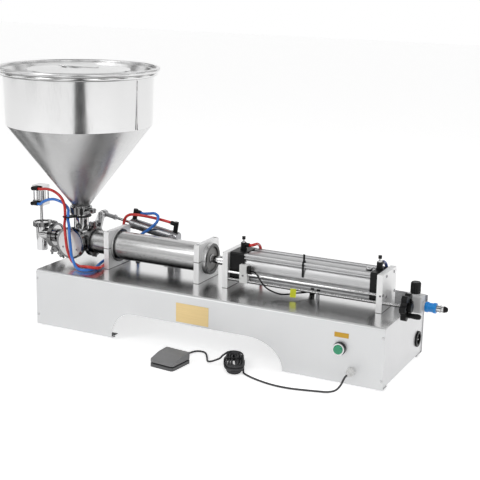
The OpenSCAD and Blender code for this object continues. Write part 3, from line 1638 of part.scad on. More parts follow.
module start_button() {
  stand = 16;
  depth = 14;
  dome = 2;
  back = stand - button_floor - button_travel - edge;
  color("limegreen") translate([button_x, front_y - stand, button_z])
    rotate([-90, 0, 0]) rotate_extrude() polygon([[0, 0], [button_r - dome, 0],
      [button_r, dome], [button_r, back], [button_stem_r, back],
      [button_stem_r, stand + depth], [0, stand + depth]]);
}

module mains_inlet() {
  color("black") difference() {
    union() {
      chamfered_x(inlet_x, inlet_x + inlet_flange_t, inlet_r, inlet_y, inlet_z);
      bar_x(inlet_x - inlet_depth, inlet_x + edge, inlet_body_r, inlet_y, inlet_z);
    }
    difference() {
      bar_x(inlet_x + inlet_flange_t - inlet_recess, inlet_x + inlet_flange_t
        + over, inlet_recess_r, inlet_y, inlet_z);
      for (side = [-1, 1])
        bar_x(inlet_x - inlet_recess, inlet_x, inlet_pin_r,
          inlet_y + side * inlet_pin_at, inlet_z - inlet_pin_at / 2);
      bar_x(inlet_x - inlet_recess, inlet_x, inlet_pin_r, inlet_y,
        inlet_z + inlet_pin_at);
    }
  }
}

module cable_gland() {
  nut_t = 6;
  nut_r = 11;
  dome_l = 9;
  inner_l = 8;
  z = low_z + gland_h;
  tip_r = cord_r + edge;
  color("whitesmoke") {
    translate([gland_x, front_y, z]) rotate([90, 0, 0]) {
      cylinder(h = nut_t, r = nut_r, $fn = 6);
      translate([0, 0, nut_t]) rotate_extrude() polygon([[0, 0],
        [nut_r - 2 * edge, 0], [nut_r - 2 * edge, dome_l / 2],
        [nut_r - 5 * edge, dome_l], [tip_r + edge, dome_l],
        [tip_r, gland_l - nut_t], [0, gland_l - nut_t]]);
    }
    bar_y(front_y, front_y + sheet + inner_l, gland_r, gland_x, z);
    translate([gland_x, front_y + sheet + nut_t, z]) rotate([90, 0, 0])
      cylinder(h = nut_t, r = nut_r, $fn = 6);
  }
}

// Closed box that hangs under the cabinet's top, near its right end
module control_box() {
  box_l = 150;
  box_w = 105;
  box_h = 60;
  end_gap = 44;
  front_part = 60;
  color("lightgray")
    translate([base_l / 2 - end_gap - box_l, -front_part, under_z - box_h])
      cube([box_l, box_w, box_h]);
}

module solenoid_valves() {
  manifold_l = 110;
  manifold_w = 40;
  manifold_h = 18;
  valve_w = 22;
  valve_l = 60;
  valve_h = 30;
  start = left_port[0] + 2 * manifold_h;
  middle = left_port[1] - manifold_w / 2;
  gap = (manifold_l - 4 * valve_w) / 3;
  color("lightgray") {
    translate([start, middle - manifold_w / 2, under_z - manifold_h])
      cube([manifold_l, manifold_w, manifold_h]);
    for (i = [0:3])
      translate([start + i * (valve_w + gap), middle - valve_l / 2,
        under_z - manifold_h - valve_h])
        cube([valve_w, valve_l, valve_h]);
  }
}

// Modules of the foot pedal

hinge_back = 8;
hinge_z = 16;

// Frame of the pedal: its middle on the floor, +Y towards the machine
module on_pedal() {
  translate([pedal_at[0], pedal_at[1], 0]) rotate(pedal_turn) children();
}

pedal_fall = 4;
module pedal_base() {
  rail_w = 4;
  wall = treadle_wall + edge;
  inner_half = pedal_w / 2 - wall;
  hinge_y = pedal_l / 2 - hinge_back;
  color("black") on_pedal() difference() {
    union() {
      linear_extrude(pedal_base_h) round_square(pedal_w, pedal_l, treadle_corner_r);
      for (side = [-1, 1])
        box([side * (inner_half - rail_w) - rail_w / 2, hinge_y - 2 * rail_w, 0],
          [side * (inner_half - rail_w) + rail_w / 2, hinge_y + rail_w,
            hinge_z + 1.5 * rail_w]);
    }
    bar_x(-inner_half, inner_half, hinge_r + run_gap, hinge_y, hinge_z);
  }
}

module pedal_treadle() {
  low = pedal_base_h + pedal_fall;
  hinge_y = pedal_l / 2 - hinge_back;
  half = pedal_l / 2;
  wall = treadle_wall;
  nose = 6;
  slot_w = 5;
  inner_half = pedal_w / 2 - wall - edge;
  color("gray") on_pedal() {
    difference() {
      intersection() {
        translate([0, 0, low]) linear_extrude(treadle_back_h)
          round_square(pedal_w, pedal_l, treadle_corner_r);
        along_x(-pedal_w / 2, pedal_w / 2) polygon([[-half, low],
          [half, low], [half, treadle_back_h - nose / 2],
          [half - nose, treadle_back_h], [0, treadle_back_h - nose / 3],
          [nose - half, treadle_front_h], [-half, treadle_front_h - nose / 3]]);
      }
      intersection() {
        translate([0, 0, low - over]) linear_extrude(treadle_back_h)
          round_square(pedal_w - 2 * wall, pedal_l - 2 * wall,
            treadle_corner_r - wall);
        along_x(-pedal_w / 2, pedal_w / 2) polygon([[-half, low - over],
          [half, low - over], [half, treadle_back_h - nose / 2 - wall],
          [half - nose, treadle_back_h - wall],
          [0, treadle_back_h - nose / 3 - wall],
          [nose - half, treadle_front_h - wall],
          [-half, treadle_front_h - nose / 3 - wall]]);
      }
      bar_z(low - over, low + slot_w, slot_w, 0, half);
    }
    bar_x(-pedal_w / 2 + edge, pedal_w / 2 - edge, hinge_r, hinge_y, hinge_z);
  }
}

module pedal_cord() {
  color("dimgray") {
    swept_tube(smooth(gland_route, route_steps), cord_r);
    swept_tube(smooth(pedal_route, route_steps), cord_r);
  }
}

module pedal_cord_hank() {
  color("dimgray") swept_tube(hank_path, cord_r, 6);
}

base_cover();
left_end_panel();
right_end_panel();
feet();
lower_clamp_plates();
upper_clamp_plates();
clamp_bolts();
product_cylinder();
valve_body();
valve_front_cover();
tri_clamps();
hopper();
tube_clip();
nozzle_body();
nozzle_air_cylinder();
air_end_plates();
air_cylinder_caps();
air_barrel();
guide_rod();
rail_post();
actuator_bracket();
regulator_bracket();
regulator_body();
slide_valve_nipple();
button_housing();
mains_inlet();
cable_gland();
control_box();
solenoid_valves();
air_fittings();
nozzle_tubes();
cylinder_tubes();
actuator_tubes();
sensor_cable();
pedal_base();
pedal_cord();
pedal_cord_hank();
piston_head();
piston_seals();
piston_rod();
air_piston();
valve_rotor();
valve_lever();
rod_end();
actuator_body();
actuator_fittings();
actuator_rod();
nozzle_plunger();
slider_block();
position_sensor();
lead_screw();
handwheel();
wheel_grip();
start_button();
pedal_treadle();
regulator_knob();
speed_knob_left();
speed_knob_right();
slide_valve_sleeve();
hopper_lid();
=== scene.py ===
import math

import bmesh
import bpy
from mathutils import Matrix, Vector


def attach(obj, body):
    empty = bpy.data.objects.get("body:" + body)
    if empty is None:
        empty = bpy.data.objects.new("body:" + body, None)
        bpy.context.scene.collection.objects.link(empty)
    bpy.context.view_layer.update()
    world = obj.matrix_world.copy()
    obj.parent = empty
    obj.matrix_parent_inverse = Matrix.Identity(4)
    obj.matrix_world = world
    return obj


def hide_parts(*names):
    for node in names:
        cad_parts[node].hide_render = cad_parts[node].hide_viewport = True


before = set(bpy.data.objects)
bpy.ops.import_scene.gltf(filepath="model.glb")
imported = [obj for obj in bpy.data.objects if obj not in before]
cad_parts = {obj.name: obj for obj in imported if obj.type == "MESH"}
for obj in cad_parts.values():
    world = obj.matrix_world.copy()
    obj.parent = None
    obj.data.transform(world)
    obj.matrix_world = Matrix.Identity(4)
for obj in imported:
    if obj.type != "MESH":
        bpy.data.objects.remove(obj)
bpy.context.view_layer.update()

scene = bpy.context.scene

# Shared values: axes and directions, heights in metres, and the hopper's place in millimetres

MM = 0.001
AXIS_X, AXIS_Z = 0, 2
FRONT, BACK, RIGHT_END, TOP = (0, -1, 0), (0, 1, 0), (1, 0, 0), (0, 0, 1)
FACING_FRONT = (math.pi / 2, 0, 0)
CABINET_TOP, PLATE_SPLIT = 0.158, 0.215
HOPPER_X = -450

# Camera at the photograph's angle

camera_place = (1.2305, -2.3996, 0.957)
yaw, pitch, roll = 0.4602, 0.2489, 0.02
forward = Vector((-math.sin(yaw) * math.cos(pitch), math.cos(yaw) * math.cos(pitch), -math.sin(pitch)))
level = Vector((math.cos(yaw), math.sin(yaw), 0))
upright = level.cross(forward)
right = math.cos(roll) * level + math.sin(roll) * upright
up = math.cos(roll) * upright - math.sin(roll) * level
camera_data = bpy.data.cameras.new("camera")
camera_data.lens = 80.66
camera_data.sensor_width = 36
camera_data.clip_end = 100
camera = bpy.data.objects.new("camera", camera_data)
camera.matrix_world = Matrix.Translation(camera_place) @ Matrix((right, up, -forward)).transposed().to_4x4()
scene.collection.objects.link(camera)
scene.camera = camera

# Node helpers for materials


class Surface:
    """A material with a Principled shader and short names for its nodes."""

    def __init__(self, name, color, metallic=0.0, rough=0.5, **sockets):
        self.material = bpy.data.materials.new(name)
        self.material.use_nodes = True
        self.tree = self.material.node_tree
        self.shader = self.tree.nodes["Principled BSDF"]
        self.shader.inputs["Base Color"].default_value = (*color, 1)
        self.shader.inputs["Metallic"].default_value = metallic
        self.shader.inputs["Roughness"].default_value = rough
        for key, value in sockets.items():
            self.shader.inputs[key.replace("_", " ")].default_value = value
        self.color = color
        self.coords = self.node("ShaderNodeTexCoord").outputs["Object"]
        self.height = None

    def feed(self, socket, value):
        """A socket takes a link from another node or a value."""
        if isinstance(value, bpy.types.NodeSocket):
            self.tree.links.new(value, socket)
        else:
            socket.default_value = value

    def node(self, kind, **inputs):
        node = self.tree.nodes.new(kind)
        for key, value in inputs.items():
            self.feed(node.inputs[key.replace("_", " ")], value)
        return node

    def noise(self, scale, stretch=(1, 1, 1), detail=4.0, rough=0.55):
        mapping = self.node("ShaderNodeMapping", Vector=self.coords, Scale=stretch)
        noise = self.node("ShaderNodeTexNoise", Vector=mapping.outputs[0], Scale=scale, Detail=detail)
        noise.inputs["Roughness"].default_value = rough
        return noise.outputs["Fac"]

    def remap(self, value, low, high, out_low=0.0, out_high=1.0):
        node = self.node("ShaderNodeMapRange", Value=value)
        for key, number in (("From Min", low), ("From Max", high), ("To Min", out_low), ("To Max", out_high)):
            node.inputs[key].default_value = number
        return node.outputs[0]

    def math(self, operation, first, second):
        node = self.tree.nodes.new("ShaderNodeMath")
        node.operation = operation
        for socket, value in zip(node.inputs, (first, second)):
            self.feed(socket, value)
        return node.outputs[0]

    def mix(self, factor, first, second):
        """Mixes two colours, the first of which may come from another node."""
        node = self.tree.nodes.new("ShaderNodeMix")
        node.data_type = "RGBA"
        self.feed(node.inputs[0], factor)
        self.feed(node.inputs[6], first if isinstance(first, bpy.types.NodeSocket) else (*first, 1))
        self.feed(node.inputs[7], (*second, 1))
        return node.outputs[2]

    def tint(self, factor, other):
        """Colour goes towards another where the factor rises."""
        self.tree.links.new(self.mix(factor, self.color, other), self.shader.inputs["Base Color"])

    def retint(self, factor, other):
        """A colour that tint already varies goes towards another."""
        base = self.shader.inputs["Base Color"]
        self.tree.links.new(self.mix(factor, base.links[0].from_socket, other), base)

    def normal(self, axis):
        geometry = self.node("ShaderNodeNewGeometry")
        return self.node("ShaderNodeSeparateXYZ", Vector=geometry.outputs["Normal"]).outputs[axis]

    def facing(self, axis, low, high, color):
        """Colour goes towards a darker one where the surface looks along an axis: painted shade, for the machine's own
        shade and the dark reflections it would show there.
        """
        self.retint(self.remap(self.normal(axis), low, high), color)

    def joint_shadow_line(self, height):
        """Thin line of painted shadow at a height, where two parts meet."""
        z = self.node("ShaderNodeSeparateXYZ", Vector=self.coords).outputs[AXIS_Z]
        away = self.math("ABSOLUTE", self.math("SUBTRACT", z, height), 0.0)
        self.retint(self.remap(away, 0.0007, 0.0011, 1.0, 0.0), (0.03, 0.03, 0.03))

    def roughness(self, value):
        self.tree.links.new(value, self.shader.inputs["Roughness"])

    def bump(self, height, distance, strength=0.5):
        node = self.node("ShaderNodeBump", Height=height, Distance=distance, Strength=strength)
        if self.height is not None:
            self.tree.links.new(self.height, node.inputs["Normal"])
        self.height = node.outputs[0]
        self.tree.links.new(self.height, self.shader.inputs["Normal"])


def shade(color, by):
    return tuple(min(1.0, c * by) for c in color)


def brushed(name, color, rough, along, depth=0.00004, shaded=1.0, turned=0.0, end=1.0, blur=0.0, joints=()):
    """Satin metal with fine lines along one axis and faint cloudy wear.

    Its underside has shaded times its colour, from where its normal's height is turned, and its right end
    has end times its colour; both are painted shade. The underside is rougher by blur. Each height in joints gets a
    thin line of painted shadow where two parts meet."""
    surface = Surface(name, color, 1.0, rough)
    stretch = {"x": (0.02, 1, 1), "y": (1, 0.02, 1), "z": (1, 1, 0.02)}[along]
    lines = surface.noise(900, stretch, 3.0, 0.7)
    clouds = surface.noise(9)
    fine = surface.remap(lines, 0.3, 0.7, -0.05, 0.05)
    wear = surface.remap(clouds, 0.3, 0.7, rough - 0.04, rough + 0.05)
    below = surface.remap(surface.normal(AXIS_Z), -0.05, -0.35, 0.0, blur)
    surface.roughness(surface.math("ADD", surface.math("ADD", fine, wear), below))
    surface.tint(surface.remap(lines, 0.35, 0.65), shade(color, 0.93))
    surface.facing(AXIS_Z, turned, -0.75, shade(color, shaded))
    surface.facing(AXIS_X, 0.6, 0.95, shade(color, end))
    for height in joints:
        surface.joint_shadow_line(height)
    surface.bump(lines, depth)
    return surface.material


def polished(name, color, rough=0.12):
    """Polished steel with faint smears, a slightly wavy surface and painted shade on its underside."""
    surface = Surface(name, color, 1.0, rough)
    smears = surface.noise(35, (1, 1, 0.4), 5.0, 0.65)
    surface.roughness(surface.remap(smears, 0.3, 0.75, rough * 0.7, rough * 1.6))
    surface.tint(surface.remap(smears, 0.4, 0.8), shade(color, 0.9))
    surface.facing(AXIS_Z, 0.0, -0.75, shade(color, 0.25))
    surface.bump(surface.noise(60, (1, 1, 1), 1.0), 0.0001, 0.25)
    return surface.material


def moulded(name, color, rough=0.45, grain=0.00006, coat=0.0, shine=0.5):
    """Moulded plastic with fine grain, worn a little smoother in places."""
    surface = Surface(name, color, 0.0, rough, Coat_Weight=coat, Coat_Roughness=0.15, Specular_IOR_Level=shine)
    fine = surface.noise(1600, (1, 1, 1), 2.0)
    clouds = surface.noise(24)
    surface.roughness(surface.remap(clouds, 0.3, 0.7, rough - 0.06, rough + 0.08))
    surface.tint(surface.remap(clouds, 0.35, 0.75), shade(color, 1.25))
    surface.bump(fine, grain)
    return surface.material


def painted(name, color, rough=0.35):
    """Sprayed coat with orange peel and a little unevenness."""
    surface = Surface(name, color, 0.0, rough, Coat_Weight=0.3, Coat_Roughness=0.2)
    peel = surface.noise(260, (1, 1, 1), 2.0)
    clouds = surface.noise(5)
    surface.roughness(surface.remap(clouds, 0.3, 0.7, rough - 0.04, rough + 0.06))
    surface.tint(surface.remap(clouds, 0.3, 0.7), shade(color, 0.96))
    surface.bump(peel, 0.00005, 0.3)
    return surface.material


def cabinet_steel():
    """Pale satin sheet, mirror polished on its flat top."""
    color = (0.66, 0.665, 0.67)
    surface = Surface("cabinet_steel", color, 1.0, 0.34)
    top = surface.remap(surface.normal(AXIS_Z), 0.90, 0.995)
    lines = surface.noise(700, (0.02, 1, 1), 3.0, 0.7)
    clouds = surface.noise(6, (1, 1, 1), 5.0)
    satin = surface.remap(clouds, 0.3, 0.7, 0.40, 0.50)
    mirror = surface.remap(clouds, 0.3, 0.7, 0.20, 0.28)
    mixed = surface.tree.nodes.new("ShaderNodeMix")
    for socket, value in zip((mixed.inputs[0], mixed.inputs[2], mixed.inputs[3]), (top, satin, mirror)):
        surface.feed(socket, value)
    surface.roughness(mixed.outputs[0])
    # The flat top's colour is lighter as well: a painted sheen.
    surface.tint(surface.math("MULTIPLY", top, 0.9), (0.74, 0.74, 0.74))
    surface.bump(lines, 0.00003, 0.3)
    return surface.material


def threaded(name, color, axis, pitch):
    """Steel rod with fine ridges across it, painted shade in the grooves between them and on its underside."""
    surface = Surface(name, color, 1.0, 0.25)
    wave = surface.node("ShaderNodeTexWave", Vector=surface.coords, Scale=2 * math.pi / pitch / 20)
    wave.bands_direction = axis
    surface.bump(wave.outputs["Fac"], 0.0006, 0.9)
    surface.tint(surface.remap(wave.outputs["Fac"], 0.2, 0.6, 1.0, 0.0), shade(color, 0.6))
    surface.facing(AXIS_Z, 0.3, -0.3, shade(color, 0.05))
    surface.roughness(surface.remap(surface.noise(80), 0.3, 0.7, 0.2, 0.35))
    return surface.material


TUBE_SKIN = {"rough": 0.25, "grain": 0.00001, "coat": 0.4}
PLATE_COLOR = (0.92, 0.92, 0.92)
MATERIAL = {
    "cabinet": cabinet_steel(),
    "panel": brushed("panel_steel", (0.66, 0.66, 0.665), 0.36, "z"),
    "polished": polished("polished_steel", (0.64, 0.64, 0.645), 0.10),
    "cylinder": brushed("cylinder_steel", (0.60, 0.60, 0.60), 0.24, "y", 0.00001, shaded=0.08, turned=0.3, end=0.15),
    "hopper": brushed("hopper_steel", (0.80, 0.80, 0.80), 0.17, "z", 0.000004, shaded=0.55, blur=0.12),
    # The clamps get a much darker polished steel than the rest: painted shade and painted dark reflection.
    "clamp": polished("clamp_steel_painted_shade", (0.20, 0.20, 0.202), 0.12),
    "lid": brushed("lid_steel", (0.78, 0.78, 0.78), 0.3, "y", 0.00001),
    "satin": brushed("satin_steel", (0.55, 0.55, 0.56), 0.28, "x", 0.00002, shaded=0.4),
    "cover": brushed("cover_steel", (0.66, 0.66, 0.66), 0.4, "z", 0.00001),
    "dark_steel": brushed("dark_steel", (0.30, 0.30, 0.31), 0.25, "x", 0.00002, shaded=0.2),
    "plate": brushed("plate_aluminium", PLATE_COLOR, 0.6, "z", 0.00002, joints=(CABINET_TOP,)),
    "split_plate": brushed("split_plate_aluminium", PLATE_COLOR, 0.6, "z", 0.00002, joints=(CABINET_TOP, PLATE_SPLIT)),
    "barrel": brushed("barrel_aluminium", (0.60, 0.60, 0.605), 0.44, "x", 0.00002, shaded=0.8),
    "grey": moulded("grey_plastic", (0.33, 0.325, 0.32), 0.42),
    "black": moulded("black_plastic", (0.008, 0.008, 0.0085), 0.38, shine=0.2),
    "satin_black": moulded("satin_black_plastic", (0.008, 0.008, 0.009), 0.3, coat=0.06, shine=0.25),
    "rubber": moulded("black_rubber", (0.02, 0.02, 0.02), 0.7, 0.0001),
    "white": moulded("white_plastic", (0.86, 0.86, 0.84), 0.4),
    "treadle": moulded("treadle_plastic", (0.25, 0.25, 0.255), 0.5, 0.0001),
    "tray": moulded("dark_grey_plastic", (0.13, 0.13, 0.134), 0.5, 0.0001),
    "paint": painted("pale_paint", (0.78, 0.78, 0.785)),
    "red": moulded("red_tube", (0.72, 0.02, 0.015), **TUBE_SKIN),
    "blue": moulded("blue_tube", (0.03, 0.22, 0.78), **TUBE_SKIN),
    "dark_blue": moulded("dark_blue_tube", (0.02, 0.06, 0.30), **TUBE_SKIN),
    "sleeve": moulded("blue_plastic", (0.0, 0.29, 0.84), 0.3, coat=0.3),
    "green": moulded("green_lens", (0.0, 0.36, 0.16), 0.18, 0.00001, coat=0.6),
    "cord": moulded("dark_cord", (0.05, 0.05, 0.053), 0.55),
    "tag": moulded("yellow_tag", (0.72, 0.75, 0.03), 0.5),
    "gold": brushed("gold_plate", (0.72, 0.55, 0.28), 0.38, "x", 0.00001),
    "amber": brushed("amber_plate", (0.50, 0.30, 0.05), 0.36, "x", 0.00001),
    "screw": threaded("threaded_steel", (0.9, 0.9, 0.9), "X", 0.002),
}

NODE_MATERIALS = {
    "cabinet": ["base_cover"],
    "panel": ["left_end_panel", "right_end_panel"],
    "rubber": ["feet", "piston_seals"],
    "plate": ["air_end_plates"],
    "split_plate": ["lower_clamp_plates", "upper_clamp_plates"],
    "cover": ["valve_front_cover"],
    "clamp": ["tri_clamps"],
    "polished": ["clamp_bolts", "valve_body", "nozzle_body", "nozzle_air_cylinder", "guide_rod",
                 "slide_valve_nipple", "button_housing", "piston_rod", "air_piston", "valve_rotor",
                 "valve_lever", "actuator_rod", "nozzle_plunger"],
    "cylinder": ["product_cylinder"],
    "hopper": ["hopper"],
    "lid": ["hopper_lid"],
    "satin": ["actuator_bracket", "regulator_bracket", "rod_end"],
    "dark_steel": ["actuator_body", "rail_post"],
    "barrel": ["air_barrel"],
    "black": ["tube_clip", "air_cylinder_caps", "mains_inlet", "air_fittings", "actuator_fittings",
              "position_sensor", "handwheel", "wheel_grip", "regulator_knob"],
    "satin_black": ["speed_knob_left", "speed_knob_right"],
    "white": ["cable_gland", "slider_block"],
    "grey": ["piston_head"],
    "paint": ["regulator_body", "control_box", "solenoid_valves"],
    "treadle": ["pedal_treadle"],
    "tray": ["pedal_base"],
    "sleeve": ["slide_valve_sleeve"],
    "green": ["start_button"],
    "screw": ["lead_screw"],
}


def dress(obj, material):
    obj.data.materials.clear()
    obj.data.materials.append(material)


for key, nodes in NODE_MATERIALS.items():
    for name in nodes:
        dress(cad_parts[name], MATERIAL[key])

# Mesh helpers


def piece(name, mesh, material, body):
    """A finished mesh as a piece that rides on a body."""
    for face in mesh.polygons:
        face.use_smooth = True
    obj = bpy.data.objects.new(name, mesh)
    scene.collection.objects.link(obj)
    dress(obj, MATERIAL[material])
    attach(obj, body)
    return obj


def from_bmesh(bm, name):
    bmesh.ops.recalc_face_normals(bm, faces=bm.faces)
    mesh = bpy.data.meshes.new(name)
    bm.to_mesh(mesh)
    bm.free()
    return mesh


def vectors(points):
    return [Vector(p) * MM for p in points]


def curve_through(points, steps=6):
    """Smooth curve through points, straight over its first and last stretch."""
    line = [points[0]]
    for i in range(1, len(points) - 2):
        a, b, c, d = points[i - 1:i + 3]
        square, cube = 2 * a - 5 * b + 4 * c - d, 3 * b - a - 3 * c + d
        for s in range(steps):
            t = s / steps
            line.append(0.5 * (2 * b + (c - a) * t + square * t * t + cube * t ** 3))
    return line + points[-2:]


def tube_mesh(name, line, radius, sides=14):
    """Round tube along a line, with closed ends."""
    bm = bmesh.new()
    side = Vector((0.4, 0.5, 0.8))
    rings = []
    for i, point in enumerate(line):
        heading = (line[min(i + 1, len(line) - 1)] - line[max(i - 1, 0)]).normalized()
        side = (side - heading * side.dot(heading)).normalized()
        other = heading.cross(side)
        rings.append([bm.verts.new(point + radius * (side * math.cos(a) + other * math.sin(a)))
                      for a in (2 * math.pi * k / sides for k in range(sides))])
    for low, high in zip(rings, rings[1:]):
        for k in range(sides):
            bm.faces.new((low[k], low[(k + 1) % sides], high[(k + 1) % sides], high[k]))
    bm.faces.new(rings[0])
    bm.faces.new(rings[-1])
    return from_bmesh(bm, name)


def tube(name, points, radius, material):
    return piece(name, tube_mesh(name, curve_through(vectors(points)), radius * MM), material, "machine")


def lathe_mesh(name, profile, place, axis, sides=40):
    """Profile of radius and distance along the axis, turned about it."""
    turn = Vector((0, 0, 1)).rotation_difference(Vector(axis)).to_matrix().to_4x4()
    bm = bmesh.new()
    rings = []
    for radius, along in profile:
        if radius == 0:
            rings.append([bm.verts.new((0, 0, along * MM))])
        else:
            rings.append([bm.verts.new((radius * MM * math.cos(a), radius * MM * math.sin(a), along * MM))
                          for a in (2 * math.pi * k / sides for k in range(sides))])
    for low, high in zip(rings, rings[1:]):
        for k in range(sides):
            n = (k + 1) % sides
            corners = [low[k % len(low)], low[n % len(low)], high[n % len(high)], high[k % len(high)]]
            bm.faces.new(list(dict.fromkeys(corners)))
    bm.transform(Matrix.Translation(Vector(place) * MM) @ turn)
    return from_bmesh(bm, name)


def sharp_edges(obj, degrees=35):
    obj.data.set_sharp_from_angle(angle=math.radians(degrees))


def lathe(name, profile, place, axis, material, body="machine"):
    sharp_edges(piece(name, lathe_mesh(name, profile, place, axis), material, body))


def plate(name, size, place, material, corner, edge=0.3, turn=(0, 0, 0)):
    """Flat plate with round corners in its own X and Y, and broken edges."""
    w, h, t = (s / 2 for s in size)
    outline = []
    for cx, cy, start in ((w, h, 0), (-w, h, 90), (-w, -h, 180), (w, -h, 270)):
        for k in range(5):
            a = math.radians(start + 22.5 * k)
            x = cx - math.copysign(corner, cx)
            y = cy - math.copysign(corner, cy)
            outline.append((x + corner * math.cos(a), y + corner * math.sin(a)))
    bm = bmesh.new()
    shrunk = [(x * (1 - edge / w), y * (1 - edge / h)) for x, y in outline]
    layers = [[bm.verts.new((x * MM, y * MM, z * MM)) for x, y in line]
              for line, z in ((outline, -t), (outline, t - edge), (shrunk, t))]
    for low, high in zip(layers, layers[1:]):
        for k in range(len(low)):
            n = (k + 1) % len(low)
            bm.faces.new((low[k], low[n], high[n], high[k]))
    bm.faces.new(layers[0][::-1])
    bm.faces.new(layers[-1])
    turned = Matrix.Rotation(turn[2], 4, "Z") @ Matrix.Rotation(turn[1], 4, "Y") @ Matrix.Rotation(turn[0], 4, "X")
    bm.transform(Matrix.Translation(Vector(place) * MM) @ turned)
    sharp_edges(piece(name, from_bmesh(bm, name), material, "machine"))


# Cord of the foot pedal: from the gland through its hank to the pedal

HANK_X, HANK_Y, HANK_ANGLE = 116, -170, math.radians(-62)
LAYERS, TURNS_A_LAYER, WOUND_TURNS = 4, 3.5, 3
POINTS_A_TURN, FIRST_POINT, LAST_POINT = 24, 4, 327
LEAD, CORD_RADIUS = 9, 2.4


def hank_point(turn):
    """Point of the hank after some turns. A layer winds inwards or outwards, then rises to the next one."""
    layer = min(int(turn // TURNS_A_LAYER), LAYERS - 1)
    part = turn - TURNS_A_LAYER * layer
    wound = min(part, WOUND_TURNS)
    inward = wound if layer % 2 == 0 else WOUND_TURNS - wound
    rise = layer + 2 * (part - wound) if layer < LAYERS - 1 else layer
    a = 2 * math.pi * turn
    x = (58 - 6.4 * inward) * math.cos(a)
    y = (36 - 9.8 * inward) * math.sin(a) * (1 - 0.34 * math.sin(a) ** 2)
    c, s = math.cos(HANK_ANGLE), math.sin(HANK_ANGLE)
    return Vector((HANK_X + x * c - y * s, HANK_Y + x * s + y * c, 3 + 5.7 * rise)) * MM


hank = [hank_point(i / POINTS_A_TURN) for i in range(FIRST_POINT, LAST_POINT + 1)]
into_hank = (hank[0] - hank[1]).normalized() * LEAD * MM
out_of_hank = (hank[-1] - hank[-2]).normalized() * LEAD * MM
hank_start, hank_end = hank[0] + into_hank, hank[-1] + out_of_hank
pedal_back = Vector((-25.9234, -193.214, 5)) * MM
pedal_out = Vector((0.104528, 0.994522, 0))
gland_run = vectors([
    (414.6, -182, 39), (414.6, -190, 39), (414, -200, 34), (410, -207, 22), (400, -211, 10), (383, -215, 4),
    (358, -221, 3), (328, -229, 3), (295, -236, 3), (262, -237, 3), (230, -232, 3), (200, -223, 3),
    (176, -213, 3)]) + [hank_start + into_hank, hank_start]
pedal_run = [hank_end, hank_end + out_of_hank] + vectors([
    (79, -176, 18), (66, -185, 12), (51, -181, 6), (40, -168, 3), (28, -148, 3), (15, -129, 3),
    (5, -121, 3), (-7, -120, 3), (-17, -126, 3), (-22, -137, 3), (-23.5, -151, 4), (-24, -168, 5)]) + [
    pedal_back + pedal_out * LEAD * MM, pedal_back]


def tie_band():
    """Wire tie wound twice and tightly over the middle of the hank, its two ends standing out."""
    axis = Vector((math.cos(HANK_ANGLE), math.sin(HANK_ANGLE), 0))
    across = Vector((-axis.y, axis.x, 0))
    middle = Vector((HANK_X, HANK_Y, 11.5)) * MM
    wide, tall, turns, steps = 27.5, 12.6, 2, 36
    line = []
    for i in range(turns * steps + 1):
        a = math.radians(360 / steps * i + 60)
        bulge = (abs(math.cos(a)) ** 4 + abs(math.sin(a)) ** 4) ** -0.25
        around = across * math.cos(a) * wide + Vector((0, 0, 1)) * math.sin(a) * tall
        line.append(middle + around * bulge * 0.92 * MM + axis * (i / steps - 1) * 2.2 * MM)
    first = [line[0] + (axis * -9 + Vector((0, 0, 7)) - across * 3) * MM,
             line[0] + (axis * -3 + Vector((0, 0, 2.6))) * MM]
    last = [line[-1] + (axis * 4 + Vector((0, 0, 3))) * MM,
            line[-1] + (axis * 11 + Vector((0, 0, 7)) + across * 3) * MM]
    return piece("hank_tie", tube_mesh("hank_tie", first + line + last, 1.1 * MM, 8), "satin_black", "machine")


cord_line = curve_through(gland_run, 3) + hank + curve_through(pedal_run, 3)
cord = piece("pedal_cord_run", tube_mesh("pedal_cord_run", cord_line, CORD_RADIUS * MM, 12), "cord", "machine")
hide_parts("pedal_cord", "pedal_cord_hank")
tie = tie_band()

# Air tubes and the sensor's cable, with their radii in millimetres

TUBE_RADIUS, CABLE_RADIUS = 4, 2

tube("red_nozzle_tube", [
    (-575, -26.5, 348), (-566, -26.5, 348), (-545, -27, 351), (-521, -29, 348), (-501, -31, 339),
    (-488, -33, 327), (-480, -36, 313), (-478, -37, 298), (-478, -37, 283), (-477, -39, 275), (-467, -56, 264),
    (-456, -69, 248), (-448, -77, 228), (-443, -80, 208), (-437, -80, 190), (-425, -82, 174), (-403, -90, 167),
    (-382, -99, 169), (-361, -103, 172), (-345, -96, 170), (-339, -78, 167), (-344, -54, 166), (-349, -30, 167),
    (-350, -8, 168), (-350, 1, 168)], TUBE_RADIUS, "red")
tube("blue_nozzle_tube", [
    (-578, -26.5, 305), (-569, -26.5, 305), (-558, -28, 313), (-541, -29, 321), (-521, -29, 325),
    (-503, -28, 322), (-488, -26, 315), (-474, -28, 304), (-468, -36, 293), (-467, -38, 283), (-465, -42, 275),
    (-449, -60, 264), (-441, -71, 247), (-434, -78, 227), (-430, -81, 206), (-426, -84, 190), (-415, -90, 175),
    (-400, -100, 165), (-381, -110, 163), (-362, -105, 163), (-354, -88, 163), (-358, -64, 163),
    (-365, -36, 165), (-368, -8, 168), (-368, 1, 168)], TUBE_RADIUS, "blue")
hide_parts("nozzle_tubes")
tube("left_cylinder_tube", [
    (68, 0, 266), (73, 0.5, 266), (78, 6, 267), (80, 16, 267), (80, 28, 264), (80, 38, 257), (80, 44, 246),
    (80, 50, 224), (78, 56, 198), (75, 60, 175), (75, 60, 166)], TUBE_RADIUS, "red")
tube("right_cylinder_tube", [
    (420, 16, 266), (420, 25, 266), (421, 38, 260), (423, 47, 246), (427, 58, 222), (430, 67, 198),
    (430, 70, 175), (430, 70, 166)], TUBE_RADIUS, "dark_blue")
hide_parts("cylinder_tubes")
